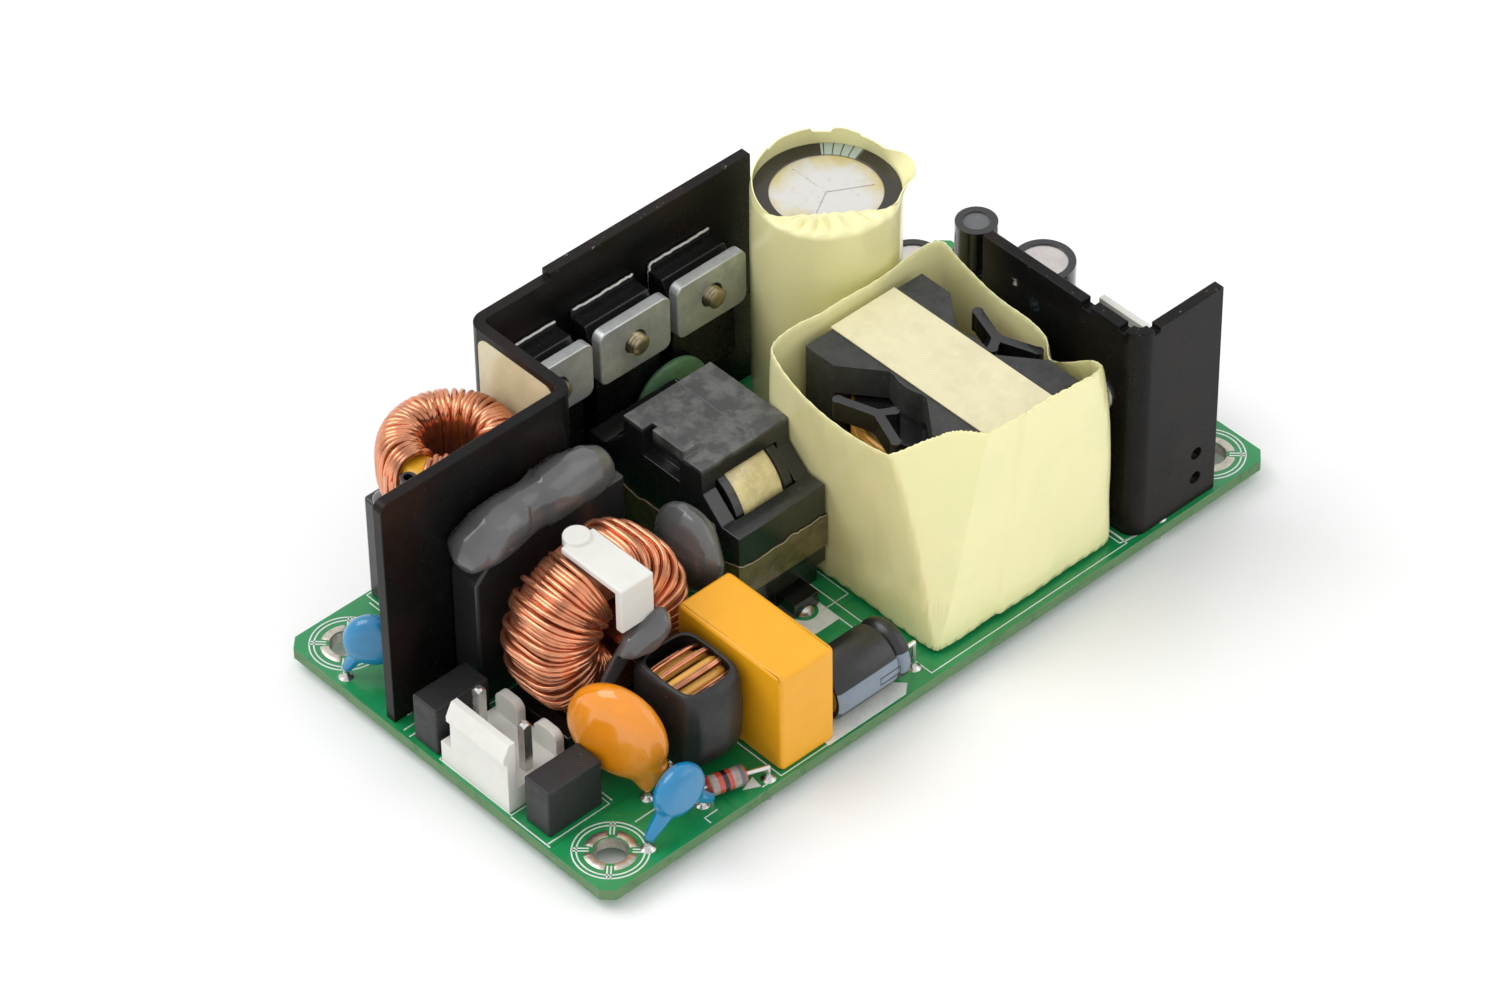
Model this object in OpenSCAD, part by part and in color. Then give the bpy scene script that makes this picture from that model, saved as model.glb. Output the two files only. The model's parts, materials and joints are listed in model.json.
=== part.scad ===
// Open frame power supply: a board that carries an input filter, a boost stage,
// a wrapped transformer and an output stage, with folded heat sinks.
// Places on the board are [x, y] from the front left corner of the board, and
// heights are from the component side of the board.

/* [Board] */
// Length of the board
board_l = 108; // [107:0.5:112]
// Width of the board
board_w = 57; // [56.8:0.1:60]
// Thickness of the board
board_t = 1.6; // [1:0.1:3.2]
// Size of the cut at each corner of the board
board_corner = 1.4; // [0.5:0.1:2.5]
// Diameter of the four mounting holes
hole_d = 4.1; // [3:0.1:4.6]
// Distance of a mounting hole from the edges next to it
hole_inset = 5.1; // [4.6:0.1:5.4]
// Width of the bare metal ring around a mounting hole
ring_w = 0.9; // [0.4:0.1:1.2]
// Length of the lead tips below the board
tip_l = 1.6; // [1:0.1:2.5]
// Diameter of a solder joint
solder_d = 2.1; // [1.6:0.1:2.4]

/* [Primary heat sink] */
// Thickness of the folded sheet
sink_t = 1.5; // [1:0.1:1.8]
// Height of the front plate and of the jog
sink_h = 34.1; // [30:0.1:38]
// Step up of the rear plate
sink_step = 1; // [0.5:0.1:2]
// Inner radius of the folds
sink_bend_r = 0.8; // [0.4:0.1:1.2]
// Radius of the free top corner
sink_corner_r = 1.2; // [0.5:0.1:4]
// Place of the free end of the front plate
sink_front_at = [0.6, 37.8]; // [0:0.1:60]
// Length of the front plate
sink_front_l = 29.6; // [29:0.1:29.8]
// Distance from the front face of the front plate to the rear face
sink_depth = 17.9; // [17.5:0.1:18.3]
// Distance from the free end to the end of the rear plate
sink_l = 72.1; // [70:0.1:74]

/* [Power transistors] */
// Number of transistors on the rear plate
transistor_count = 3; // [2:1:3]
// Pitch of the transistors
transistor_pitch = 12.3; // [11.8:0.1:12.4]
// Width of a transistor package
package_w = 10.2; // [9:0.1:10.6]
// Height of a transistor package
package_h = 15.8; // [14:0.1:16.5]
// Thickness of a transistor package
package_t = 4.2; // [3.8:0.1:4.4]
// Thickness of the insulating pad behind a package
insulator_t = 0.3; // [0.2:0.1:0.5]
// Width of a clamp block
clamp_w = 11.2; // [10:0.1:11.6]
// Height of a clamp block
clamp_h = 8; // [7:0.1:9]
// Thickness of a clamp block
clamp_t = 1.6; // [1.2:0.1:1.8]
// Height of the clamping screws
screw_z = 23.7; // [22:0.1:25]
// Diameter of the screw threads
screw_d = 3; // [2.5:0.1:3.2]
// Length of thread past the clamp block
screw_out = 1.3; // [0.8:0.1:1.8]

/* [Secondary heat sink] */
// Thickness of the secondary heat sink
angle_t = 1.5; // [1:0.1:1.6]
// Height of the secondary heat sink
angle_h = 32; // [29:0.1:36]
// Length of the short leg along the front edge
angle_short_l = 14; // [12:0.1:15]
// Length of the long leg across the board
angle_long_l = 26.2; // [25:0.1:27]
// Inner radius of the fold
angle_bend_r = 0.8; // [0.4:0.1:1.2]
// Distance from the long leg's inner face to the right end of the board
angle_from_end = 23; // [22.8:0.1:23.2]
// Height of the rectifier screws
rectifier_screw_z = 20.2; // [18:0.1:22]

/* [Bulk capacitor] */
// Diameter of the bulk capacitor
bulk_d = 18; // [16:0.1:18.2]
// Height of the bulk capacitor
bulk_h = 35.5; // [30:0.1:40]
// Radius of the bare disc on top of the sleeve
bulk_disc_r = 6.9; // [6:0.1:7.5]
// Height of the film above the capacitor
bulk_film_out = 2; // [1:0.1:3]

/* [Transformer] */
// Length of the transformer core
core_l = 26.4; // [25:0.1:26.8]
// Width of the core's end blocks
core_w = 19; // [18:0.1:19.6]
// Width of the core across its waist
core_waist = 11; // [10:0.1:12]
// Height of the two core halves together
core_h = 24.8; // [22:0.1:26]
// Thickness of a core plate
core_plate = 4.3; // [3.5:0.1:5]
// Diameter of the core's round post
core_post_d = 12; // [10:0.1:12.4]
// Height of the core above the board
core_z = 3.2; // [2.6:0.1:4]
// Diameter of the transformer winding
coil_d = 20.4; // [18:0.1:21]
// Height of the film above the core, at its lowest
film_rise = 2.2; // [0.5:0.1:3]

/* [Boost choke] */
// Width of the boost choke along the board
choke_w = 13.9; // [13:0.1:13.9]
// Depth of the choke across its feet
choke_l = 26.2; // [24:0.1:26.2]
// Depth of the choke across its top
choke_top_l = 13.6; // [12:0.1:15]
// Height of the choke
choke_h = 22; // [20:0.1:23]
// Height of the ledge at the foot of each slanted face
choke_ledge_z = 15.4; // [14:0.1:16]
// Thickness of the choke's shroud
choke_wall = 1.6; // [1.2:0.1:2]
// Diameter of the taped winding in the choke
choke_coil_d = 16.6; // [15:0.1:17]
// Width of the window in the slanted faces
choke_window_w = 9.6; // [8:0.1:10]

/* [Line filter choke] */
// Outer diameter of the line filter toroid over its wire
filter_d = 23.8; // [21:0.1:24]
// Depth of the line filter toroid over its wire
filter_t = 11.6; // [10:0.1:11.8]
// Inner diameter inside the wire
filter_bore = 7.6; // [6:0.1:9]
// Turns on each half of the line filter choke
filter_turns = 22; // [14:1:24]
// Diameter of the wire on the line filter choke
filter_wire = 0.9; // [0.6:0.05:1]
// Width of the divider between the halves
divider_w = 5; // [4:0.1:5.2]

/* [Rear toroid] */
// Outer diameter of the rear toroid over its wire
rear_d = 17.8; // [16:0.1:18]
// Height of the rear toroid over its wire
rear_t = 10; // [8:0.1:10.4]
// Inner diameter inside the wire
rear_bore = 4.6; // [4:0.1:7]
// Turns on the rear toroid
rear_turns = 42; // [24:1:44]
// Diameter of the wire on the rear toroid
rear_wire = 0.9; // [0.6:0.05:1]

/* [Sleeved toroid] */
// Height and depth of the sleeved toroid
sleeved_d = 12.6; // [11:0.1:12.8]
// Thickness of the sleeved toroid along the board
sleeved_t = 9.4; // [8:0.1:9.6]
// Turns on the sleeved toroid
sleeved_turns = 20; // [12:1:24]
// Wall of the shrunk sleeve
sleeve_wall = 0.6; // [0.4:0.1:0.7]

/* [Film capacitors] */
// Size of the orange film capacitor
orange_size = [8.4, 17.8, 14.7]; // [4:0.1:20]
// Size of the black film capacitor in front of the heat sink
front_box_size = [23, 4.6, 22]; // [4:0.1:24]
// Size of the black film capacitor behind the heat sink
rear_box_size = [15.6, 16, 15.7]; // [8:0.1:17]
// Radius of the edges of the film capacitors
box_edge_r = 0.6; // [0.3:0.1:1]

/* [Small parts] */
// Diameter of the varistor
varistor_d = 13.2; // [10:0.1:13.4]
// Thickness of the varistor
varistor_t = 4.2; // [3:0.1:4.6]
// Turn of the varistor about the vertical
varistor_turn = 17; // [0:1:20]
// Diameter of a Y capacitor disc
disc_d = 7.2; // [6:0.1:7.6]
// Thickness of a Y capacitor disc
disc_t = 3; // [2.4:0.1:3.4]
// Diameter of the inrush thermistor
thermistor_d = 11.6; // [9:0.1:12]
// Thickness of the inrush thermistor
thermistor_t = 1.9; // [1.6:0.1:2]
// Size of a fuse
fuse_size = [8.2, 4.2, 7.1]; // [3:0.1:9]
// Diameter of the lying capacitor
lying_d = 8; // [6.3:0.1:8.4]
// Length of the lying capacitor
lying_l = 11.6; // [10:0.1:12]
// Diameter of the surge arrester
arrester_d = 2.6; // [2:0.1:2.8]
// Diameter of an output capacitor
output_cap_d = 8; // [6.3:0.1:8.4]
// Height of an output capacitor
output_cap_h = 17; // [14:0.1:20]
// Diameter of the drum inductor
drum_d = 7.4; // [6:0.1:8]
// Height of the drum inductor
drum_h = 25; // [20:0.1:26]

/* [Connectors] */
// Pitch of the connector pins
pin_pitch = 3.96; // [3.8:0.02:4]
// Width of a square connector pin
pin_w = 1.14; // [0.8:0.02:1.2]
// Height of the connector pins
pin_h = 10.4; // [9:0.1:12]
// Number of output pins
output_pins = 4; // [2:1:4]
// Width of a connector base
header_w = 9.6; // [9:0.1:10]
// Height of a connector base
header_base_h = 3.2; // [2.6:0.1:4]
// Height of the connector's locking wall
header_wall_h = 10.6; // [9:0.1:12]
// Thickness of the connector's locking wall
header_wall_t = 1.3; // [1:0.1:1.6]

/* [Hidden] */

// Clearance between pieces that stand side by side
gap = 0.2;
// Clearance of a hole around what passes through it
fit = 0.2;
$fn = 48;

// Walls and layers that go with the pieces above
bulk_sleeve_t = 0.25;
small_sleeve_t = 0.2;
core_tape_t = 0.25;
film_t = 0.35;
tube_wall = 0.8;
flange_t = 0.8;
filter_layer = 1.6;
rear_layer = 1.2;
sleeved_layer = 0.8;
sleeved_bore = 3.2;
bridge_t = 1;
choke_rail_h = 3;
choke_coil_half_y = 10.2;
choke_coil_z = 2.6;
choke_flange_grow = 0.4;
choke_flange_t = 1.2;

// Sizes that follow from others
bulk_can_r = bulk_d / 2 - bulk_sleeve_t;
bulk_can_h = bulk_h - bulk_sleeve_t;
coil_z = core_z + core_plate + 1.2;
coil_h = core_h - 2 * core_plate - 2.4;
tube_r = core_post_d / 2 + gap;
film_half = [14.1, core_l / 2 + 1.2];
film_top = core_z + core_h + film_rise;
choke_coil_top = choke_h - choke_wall - 0.6;
choke_coil_w = choke_window_w - 0.6 - 2 * choke_flange_t;
input_l = 3 * pin_pitch;
output_l = output_pins * pin_pitch + 1.2;

// Places of the parts, from the front left corner of the board
rear_face_y = sink_front_at[1] + sink_depth - sink_t;
jog_x = sink_front_at[0] + sink_front_l;
transistor_x0 = jog_x + 5.9;
package_back_y = rear_face_y - insulator_t;
package_front_y = package_back_y - package_t;
clamp_front_y = package_front_y - clamp_t;
package_top_z = screw_z + 3.2;
angle_x = board_l - angle_from_end;
angle_y = 0.6;
rectifier_ys = [7.6, 19.4];
rectifier_x = angle_x + angle_t + insulator_t;
transistor_end_x = transistor_x0 + 2 * transistor_pitch + clamp_w / 2;
bulk_at = [transistor_end_x + bulk_d / 2 - 1, 42.6];
core_at = [68.7, 17];
choke_at = [46.8, 34.1];
filter_at = [20.8, 24.9];
filter_z = 1 + filter_d / 2;
rear_box_side = 0.5;
rear_box_at = [jog_x - sink_t - rear_box_side - rear_box_size[0], sink_front_at[1] + sink_t + 1.3];
rear_toroid_at = [jog_x - sink_t - gap - rear_d / 2,
    sink_front_at[1] + sink_t + gap + rear_d / 2];
rear_toroid_seat = 2;
rear_gap_at = 196;
rear_gap_half = 10;
rear_toroid_z = rear_box_size[2] + rear_toroid_seat + rear_t / 2;
front_box_at = [10, sink_front_at[1] - gap - front_box_size[1]];
front_box_cut = 3;
orange_at = [27.8, 0.8];
sleeved_at = [22.6, 10.9];
sleeved_z = 1.4 + sleeved_d / 2;
varistor_at = [12.8, 12.2];
varistor_z = 2.3 + varistor_d / 2;
disc_z = 6;
front_disc_feet = [[8.5, 2.5], [18.3, 2.5]];
rear_disc_feet = [[1.5, 47.7], [6.4, 42.9]];
arrester_ends = [[18.9, 3.7], [23.3, 2.4]];
arrester_z = arrester_d / 2 + 0.5;
lying_at = [37.2, 4.8];
thermistor_at = [54.2, package_front_y - gap - thermistor_t / 2];
thermistor_z = 5.2 + thermistor_d / 2;
fuse_ats = [[1.3, 11.3], [0.7, 30.2]];
input_at = [0.6, 17.5];
output_end_x = board_l - 1.8;
output_y = 17.9;
output_cap_at = [99.6, 30.9];
low_cap_at = [92.2, 46.2];
low_cap_h = 0.7 * output_cap_h;
drum_at = [92.2, 35.2];

// Puts a part at a place on the component side of the board
module at(p, z = 0) {
    translate([p[0] - board_l / 2, p[1] - board_w / 2, board_t + z]) children();
}

// Rounded rectangle with its corner at the origin
module round_rect(size, r) {
    translate([r, 0]) square([size[0] - 2 * r, size[1]]);
    translate([0, r]) square([size[0], size[1] - 2 * r]);
    for (x = [r, size[0] - r], y = [r, size[1] - r]) translate([x, y]) circle(r);
}

// Box with rounded upright edges, with its corner at the origin
module round_box(size, r) {
    linear_extrude(size[2]) round_rect([size[0], size[1]], r);
}

// Upright outline in the XZ plane, pushed back along +Y
module upright(depth) {
    translate([0, depth, 0]) rotate([90, 0, 0]) linear_extrude(depth) children();
}

// Upright outline in the YZ plane, pushed along +X
module sideways(depth) {
    rotate([90, 0, 90]) linear_extrude(depth) children();
}

// Quarter of a folded corner in the first quadrant
module fold_quarter(r, t) {
    intersection() {
        difference() {
            circle(r + t);
            circle(r);
        }
        square(r + t);
    }
}

// Round wire between two points, with its own size at the far end where one is given
module wire(p, q, d, end_d = 0) {
    v = q - p;
    l = norm(v);
    translate(p) rotate([0, acos(v[2] / l), atan2(v[1], v[0])])
        cylinder(d1 = d, d2 = end_d > 0 ? end_d : d, h = l, $fn = 16);
}

// Bent wire through a list of points, round at each bend
module bent_wire(points, d) {
    for (i = [1 : len(points) - 1]) wire(points[i - 1], points[i], d);
    for (i = [1 : len(points) - 2]) translate(points[i]) sphere(d = d, $fn = 16);
}

// Surface through rows of points that all hold as many points as each other
module skin(rows, ring = false) {
    n = len(rows[0]);
    m = len(rows);
    points = [for (row = rows) each row];
    sides = [for (i = [0 : m - (ring ? 1 : 2)], j = [0 : n - 1])
        [i * n + j, ((i + 1) % m) * n + j, ((i + 1) % m) * n + (j + 1) % n, i * n + (j + 1) % n]];
    ends = ring ? [] : [[for (j = [0 : n - 1]) j], [for (j = [n - 1 : -1 : 0]) (m - 1) * n + j]];
    polyhedron(points, concat(sides, ends), convexity = 6);
}

// Cosine and sine squared off towards a rounded box
function boxy(v, power = 0.62) = sign(v) * pow(abs(v), power);

// One section of a wound toroid about Z, at an angle, with its size grown by a wire
function wound_section(angle, d, t, bore, grow, n) =
    let (r_mid = (d + bore) / 4, r_half = (d - bore) / 4 + grow, z_half = t / 2 + grow)
    [for (j = [0 : n - 1])
        let (a = 360 * j / n, r = r_mid + r_half * boxy(sin(a)))
        [r * cos(angle), r * sin(angle), z_half * boxy(cos(a))]];

// Wire wound close on a toroid about Z: each turn is a ridge with a valley after it
module wound_toroid(d, t, bore, turns, wire_d, from = 0, to = 360, n = 12) {
    whole = to - from == 360;
    steps = 3 * turns;
    last = whole ? steps - 1 : steps;
    skin([for (i = [0 : last])
        wound_section(from + (to - from) * i / steps, d, t, bore,
            i % 3 == 0 ? -0.45 * wire_d : 0, n)], ring = whole);
}

// Plain rounded ring that a toroid is wound on
module toroid_core(d, t, bore) {
    rotate_extrude() translate([bore / 2, -t / 2]) round_rect([(d - bore) / 2, t], (d - bore) / 10);
}

// Board with its four mounting holes
function hole_places() = [for (x = [hole_inset, board_l - hole_inset],
    y = [hole_inset, board_w - hole_inset]) [x, y]];

module circuit_board() {
    c = board_corner;
    color([0.1, 0.5, 0.25]) difference() {
        translate([-board_l / 2, -board_w / 2, 0]) linear_extrude(board_t)
            polygon([[c, 0], [board_l - c, 0], [board_l, c], [board_l, board_w - c],
                [board_l - c, board_w], [c, board_w], [0, board_w - c], [0, c]]);
        for (p = hole_places()) at(p, -board_t - 1) cylinder(d = hole_d, h = board_t + 2);
    }
}

// Bare metal rings on both faces around the holes
module mounting_rings() {
    ring_t = 0.1;
    color("silver") for (p = hole_places(), z = [0, -board_t - ring_t])
        at(p, z) difference() {
            cylinder(d = hole_d + 0.2 + 2 * ring_w, h = ring_t);
            translate([0, 0, -1]) cylinder(d = hole_d + 0.2, h = ring_t + 2);
        }
}

// Places where a lead goes through the board
function transistor_leads() = [for (i = [0 : transistor_count - 1], k = [-1, 0, 1])
    [transistor_x0 + i * transistor_pitch + k * 2.54, package_back_y - package_t / 2]];
function rectifier_leads() = [for (y = rectifier_ys, k = [-1, 0, 1])
    [rectifier_x + package_t / 2, y + k * 2.54]];
function pins_of(pos, count, skip = -1) = [for (k = [0 : count - 1]) if (k != skip)
    [pos[0], pos[1] + k * pin_pitch]];
function fuse_leads() = [for (p = fuse_ats, k = [0.19, 0.81])
    [p[0] + k * fuse_size[0], p[1] + fuse_size[1] / 2]];
function box_leads(pos, size) = size[0] > size[1]
    ? [for (k = [0.12, 0.88]) [pos[0] + k * size[0], pos[1] + size[1] / 2]]
    : [for (k = [0.08, 0.92]) [pos[0] + size[0] / 2, pos[1] + k * size[1]]];
function filter_leads() = [for (i = [-1, 1], j = [-1, 1])
    [filter_at[0] + i * 6.5, filter_at[1] + j * 4]];
function rear_toroid_leads() = concat(
    [rear_toroid_at + (rear_d / 2 - 0.3) * [cos(rear_gap_at), sin(rear_gap_at)]],
    [for (y = [0.6, 2.6]) [rear_toroid_at[0] - rear_d / 2 - 0.5, rear_toroid_at[1] + y]]);
function sleeved_leads() = [for (k = [-1, 1]) [sleeved_at[0] + k * 3, sleeved_at[1]]];
function choke_leads() = concat([for (i = [-1, 1], j = [-1, 1])
    [choke_at[0] + i * 4.6, choke_at[1] + j * 10.4]], [[choke_at[0] + 1.4, choke_at[1] - 15.2]]);
function transformer_leads() = [for (i = [-1, 1], k = [-2 : 2])
    [core_at[0] + i * 12.4, core_at[1] + k * 3.8]];
function sink_tabs() = [[sink_front_at[0] + 2.5, sink_front_at[1] + sink_t / 2],
    [jog_x - sink_t / 2, sink_front_at[1] + sink_depth / 2],
    [sink_front_at[0] + sink_l - 3, rear_face_y + sink_t / 2],
    [angle_x + angle_bend_r + angle_t + 3, angle_y + angle_t / 2],
    [angle_x + angle_t / 2, angle_y + angle_long_l - 3]];
function disc_leads() = concat(front_disc_feet, rear_disc_feet);
function varistor_leads() = [for (k = [-1, 1])
    varistor_at + 3.75 * k * [-sin(varistor_turn), cos(varistor_turn)]];
function arrester_leads() = [arrester_ends[0] + [-1.6, 0.6], arrester_ends[1] + [2.8, -1.1]];
function lying_leads() = [for (k = [-1, 1])
    [lying_at[0] + lying_l + 2.2, lying_at[1] + 1.75 * k]];
function thermistor_leads() = [for (k = [-1, 1]) [thermistor_at[0] + 2.5 * k, thermistor_at[1]]];
function bulk_leads() = [for (k = [-1, 1]) [bulk_at[0] + 3.75 * k, bulk_at[1]]];
function can_leads() = [for (p = [output_cap_at, low_cap_at, drum_at], k = [-1, 1])
    [p[0] + 1.75 * k, p[1]]];
input_pins_at = [input_at[0] + 4.4, input_at[1] + 1.9];
output_pins_at = [output_end_x - 4.4, output_y - (output_pins - 1) * pin_pitch / 2];
function every_lead() = concat(transistor_leads(), rectifier_leads(),
    pins_of(input_pins_at, 3, 1), pins_of(output_pins_at, output_pins), fuse_leads(),
    box_leads(orange_at, orange_size), box_leads(front_box_at, front_box_size),
    box_leads(rear_box_at, rear_box_size), filter_leads(), rear_toroid_leads(),
    sleeved_leads(), choke_leads(), transformer_leads(), sink_tabs(), disc_leads(),
    varistor_leads(), arrester_leads(), lying_leads(), thermistor_leads(), bulk_leads(),
    can_leads());

// Solder cone with the cut lead tip, below each lead
module solder_joints() {
    color("silver") for (p = every_lead()) at(p, -board_t) rotate_extrude($fn = 24)
        polygon([[0, 0], [solder_d / 2, 0], [0.45, -0.6 * tip_l], [0.4, -tip_l], [0, -tip_l]]);
}

// Surface mounted controllers and rectifier bridge under the board
module underside_chips() {
    chips = [[[31.4, 44.6], [9.4, 4.4, 1.4]], [[61, 38], [6, 5, 1.3]], [[84, 27.4], [4.6, 4, 1.2]],
        [[30.4, 20.4], [8, 6.4, 1.3]]];
    color([0.1, 0.1, 0.1]) for (c = chips)
        at(c[0], -board_t - c[1][2]) round_box(c[1], 0.3);
}

// Plan of the primary heat sink: front plate, jog and rear plate in one sheet
module sink_plan() {
    r = sink_bend_r + sink_t;
    square([sink_front_l - r, sink_t]);
    translate([sink_front_l - r, r]) rotate(-90) fold_quarter(sink_bend_r, sink_t);
    translate([sink_front_l - sink_t, r]) square([sink_t, sink_depth - 2 * r]);
    translate([sink_front_l - sink_t + r, sink_depth - r]) rotate(90)
        fold_quarter(sink_bend_r, sink_t);
    translate([sink_front_l - sink_t + r, sink_depth - sink_t])
        square([sink_l - sink_front_l + sink_t - r, sink_t]);
}

module primary_heatsink() {
    step_x = 40.1;
    foot = 5;
    foot_h = 1.2;
    top = sink_h + sink_step;
    color([0.07, 0.07, 0.07]) at(sink_front_at) difference() {
        linear_extrude(top) sink_plan();
        // Lower top edge left of the step
        translate([-1, -1, sink_h]) cube([step_x + 1, sink_depth + 2, top]);
        // Rounded free top corner
        translate([0, -1, sink_h - sink_corner_r]) difference() {
            translate([-1, 0, 0]) cube([sink_corner_r + 1, sink_t + 2, sink_corner_r + 1]);
            translate([sink_corner_r, -1, 0]) rotate([-90, 0, 0])
                cylinder(r = sink_corner_r, h = sink_t + 4);
        }
        // Raised lower edges between the feet
        translate([foot, -1, -1]) cube([sink_front_l - foot - 4, sink_t + 2, foot_h + 1]);
        translate([sink_front_l + foot, sink_depth - sink_t - 1, -1])
            cube([sink_l - sink_front_l - 2 * foot, sink_t + 2, foot_h + 1]);
        // Screw holes of the transistors
        for (i = [0 : transistor_count - 1])
            translate([transistor_x0 - sink_front_at[0] + i * transistor_pitch,
                sink_depth - sink_t - 1, screw_z])
                rotate([-90, 0, 0]) cylinder(d = screw_d + 2 * fit, h = sink_t + 2);
        // Two small tooling dimples low on the front plate
        for (p = [[6.2, 5.4], [6.2, 2.6]]) translate([p[0], -0.6, p[1]])
            rotate([-90, 0, 0]) cylinder(d = 1, h = 1, $fn = 16);
    }
}

// Cream insulating tape on the outer face of the jog
module heatsink_tape() {
    tape_t = 0.1;
    edge = sink_bend_r + sink_t;
    l = sink_depth - 2 * edge;
    color([0.9, 0.85, 0.65])
        at([jog_x - sink_t - tape_t, sink_front_at[1] + edge], 10)
            sideways(tape_t) round_rect([l, sink_h - 11], 1.6);
}

// Moulded package with a screw hole; its back lies on y = 0 and its screw on z = 0
module package() {
    rise = package_top_z - screw_z;
    neck = 0.9;
    difference() {
        translate([-package_w / 2, -package_t, rise - package_h])
            cube([package_w, package_t, package_h]);
        translate([0, 1, 0]) rotate([90, 0, 0]) cylinder(d = screw_d + 2 * fit, h = package_t + 2);
        // Notches beside the screw and a sloped front below it
        for (k = [-1, 1]) translate([k * package_w / 2 - neck, -package_t - 1, rise - 6.2])
            cube([2 * neck, 2.4, 2.2]);
        translate([-package_w, -package_t - 1, rise - 0.8]) rotate([-30, 0, 0])
            cube([2 * package_w, 2, 3]);
    }
}

module at_transistors() {
    for (i = [0 : transistor_count - 1])
        at([transistor_x0 + i * transistor_pitch, package_back_y], screw_z) children();
}

module power_transistors() {
    color([0.06, 0.06, 0.06]) at_transistors() package();
}

module transistor_insulators() {
    color([0.9, 0.9, 0.87]) at_transistors() difference() {
        translate([-package_w / 2 + 0.1, 0, package_top_z - screw_z - package_h - 0.5])
            cube([package_w - 0.2, insulator_t, package_h + 1.4]);
        translate([0, -1, 0]) rotate([-90, 0, 0]) cylinder(d = screw_d + 2 * fit, h = insulator_t + 2);
    }
}

module clamp_blocks() {
    color([0.62, 0.64, 0.62]) at_transistors() translate([0, -package_t - clamp_t, 0]) difference() {
        translate([-clamp_w / 2, 0, -clamp_h / 2]) upright(clamp_t) round_rect([clamp_w, clamp_h], 1.2);
        translate([0, -1, 0]) rotate([-90, 0, 0]) cylinder(d = screw_d + fit, h = clamp_t + 2);
    }
}

// Screw along -Y with its head on y = 0
module screw(l, head_d, head_h, d) {
    rotate([90, 0, 0]) cylinder(d = d, h = l);
    rotate([-90, 0, 0]) rotate_extrude() difference() {
        union() {
            square([head_d / 2, head_h * 0.6]);
            translate([0, head_h * 0.6]) polygon([[0, 0], [head_d / 2, 0], [head_d * 0.36, head_h * 0.4],
                [0, head_h * 0.4]]);
        }
        translate([0, head_h * 0.55]) square([head_d * 0.13, head_h]);
    }
}

module clamp_screws() {
    l = sink_t + insulator_t + package_t + clamp_t + screw_out;
    color([0.7, 0.6, 0.4]) at_transistors() translate([0, sink_t + insulator_t, 0])
        screw(l, 5.4, 1.2, screw_d);
}

// Plan of the secondary heat sink: long leg across the board, short leg along it
module angle_plan() {
    r = angle_bend_r + angle_t;
    translate([r, r]) rotate(180) fold_quarter(angle_bend_r, angle_t);
    translate([0, r]) square([angle_t, angle_long_l - r]);
    translate([r, 0]) square([angle_short_l - r, angle_t]);
}

module secondary_heatsink() {
    foot_h = 1.2;
    color([0.07, 0.07, 0.07]) at([angle_x, angle_y]) difference() {
        linear_extrude(angle_h) angle_plan();
        // Notch in the top edge of the long leg
        translate([-1, 8.2, angle_h - 0.9]) cube([angle_t + 2, 1.4, 2]);
        // Relief cuts beside the fold in the top edge
        translate([-1, angle_bend_r + angle_t + 0.2, angle_h - 0.7])
            cube([angle_t + 2, 0.9, 2]);
        translate([angle_bend_r + angle_t + 0.2, -1, angle_h - 0.7])
            cube([0.9, angle_t + 2, 2]);
        // Raised lower edge between the feet
        translate([-1, 6, -1]) cube([angle_t + 2, angle_long_l - 12, foot_h + 1]);
        // Two small holes low on the short leg
        for (z = [3.7, 7.6]) translate([angle_short_l - 3.4, -1, z])
            rotate([-90, 0, 0]) cylinder(d = 1.7, h = angle_t + 2, $fn = 24);
        for (y = rectifier_ys) translate([-1, y - angle_y, rectifier_screw_z])
            rotate([0, 90, 0]) cylinder(d = screw_d + 2 * fit, h = angle_t + 2);
    }
}

module at_rectifiers() {
    for (y = rectifier_ys) at([rectifier_x, y], rectifier_screw_z) rotate([0, 0, 90]) children();
}

module output_rectifiers() {
    color([0.06, 0.06, 0.06]) at_rectifiers() package();
}

module rectifier_screws() {
    l = angle_t + insulator_t + package_t + 3.2;
    color("silver") at_rectifiers() translate([0, angle_t + insulator_t, 0]) {
        screw(l, 5, 1, screw_d);
        translate([0, -l + 3.2, 0]) rotate([90, 0, 0]) difference() {
            cylinder(d = 6, h = 2.2, $fn = 6);
            translate([0, 0, -1]) cylinder(d = screw_d + 0.1, h = 5);
        }
    }
}

// Aluminium can with a rolled groove near its foot, standing on z = 0
module can(d, h) {
    groove_z = 0.09 * h;
    rotate_extrude() difference() {
        union() {
            square([d / 2, h - 0.5]);
            square([d / 2 - 0.5, h]);
            translate([d / 2 - 0.5, h - 0.5]) circle(0.5, $fn = 24);
        }
        translate([d / 2 + 0.35, groove_z]) circle(0.8, $fn = 24);
    }
}

// Shrunk sleeve over a can, folded over the rim
module can_sleeve(d, h, disc_r, wall) {
    rotate_extrude() {
        translate([d / 2, 0.1]) square([wall, h + wall - 0.1]);
        translate([disc_r, h]) square([d / 2 + wall - disc_r, wall]);
    }
}

module bulk_capacitor() {
    color([0.8, 0.8, 0.8]) at(bulk_at, 0.1) difference() {
        can(2 * bulk_can_r, bulk_can_h - 0.1);
        // Vent scored in the top as three lines
        for (a = [90, 210, 330]) rotate(a) translate([0, -0.1, bulk_can_h - 0.25])
            cube([bulk_disc_r - 1, 0.2, 1]);
    }
}

module bulk_capacitor_sleeve() {
    color([0.1, 0.1, 0.1]) at(bulk_at)
        can_sleeve(2 * bulk_can_r + 0.02, bulk_can_h, bulk_disc_r, bulk_sleeve_t - 0.02);
}

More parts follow.
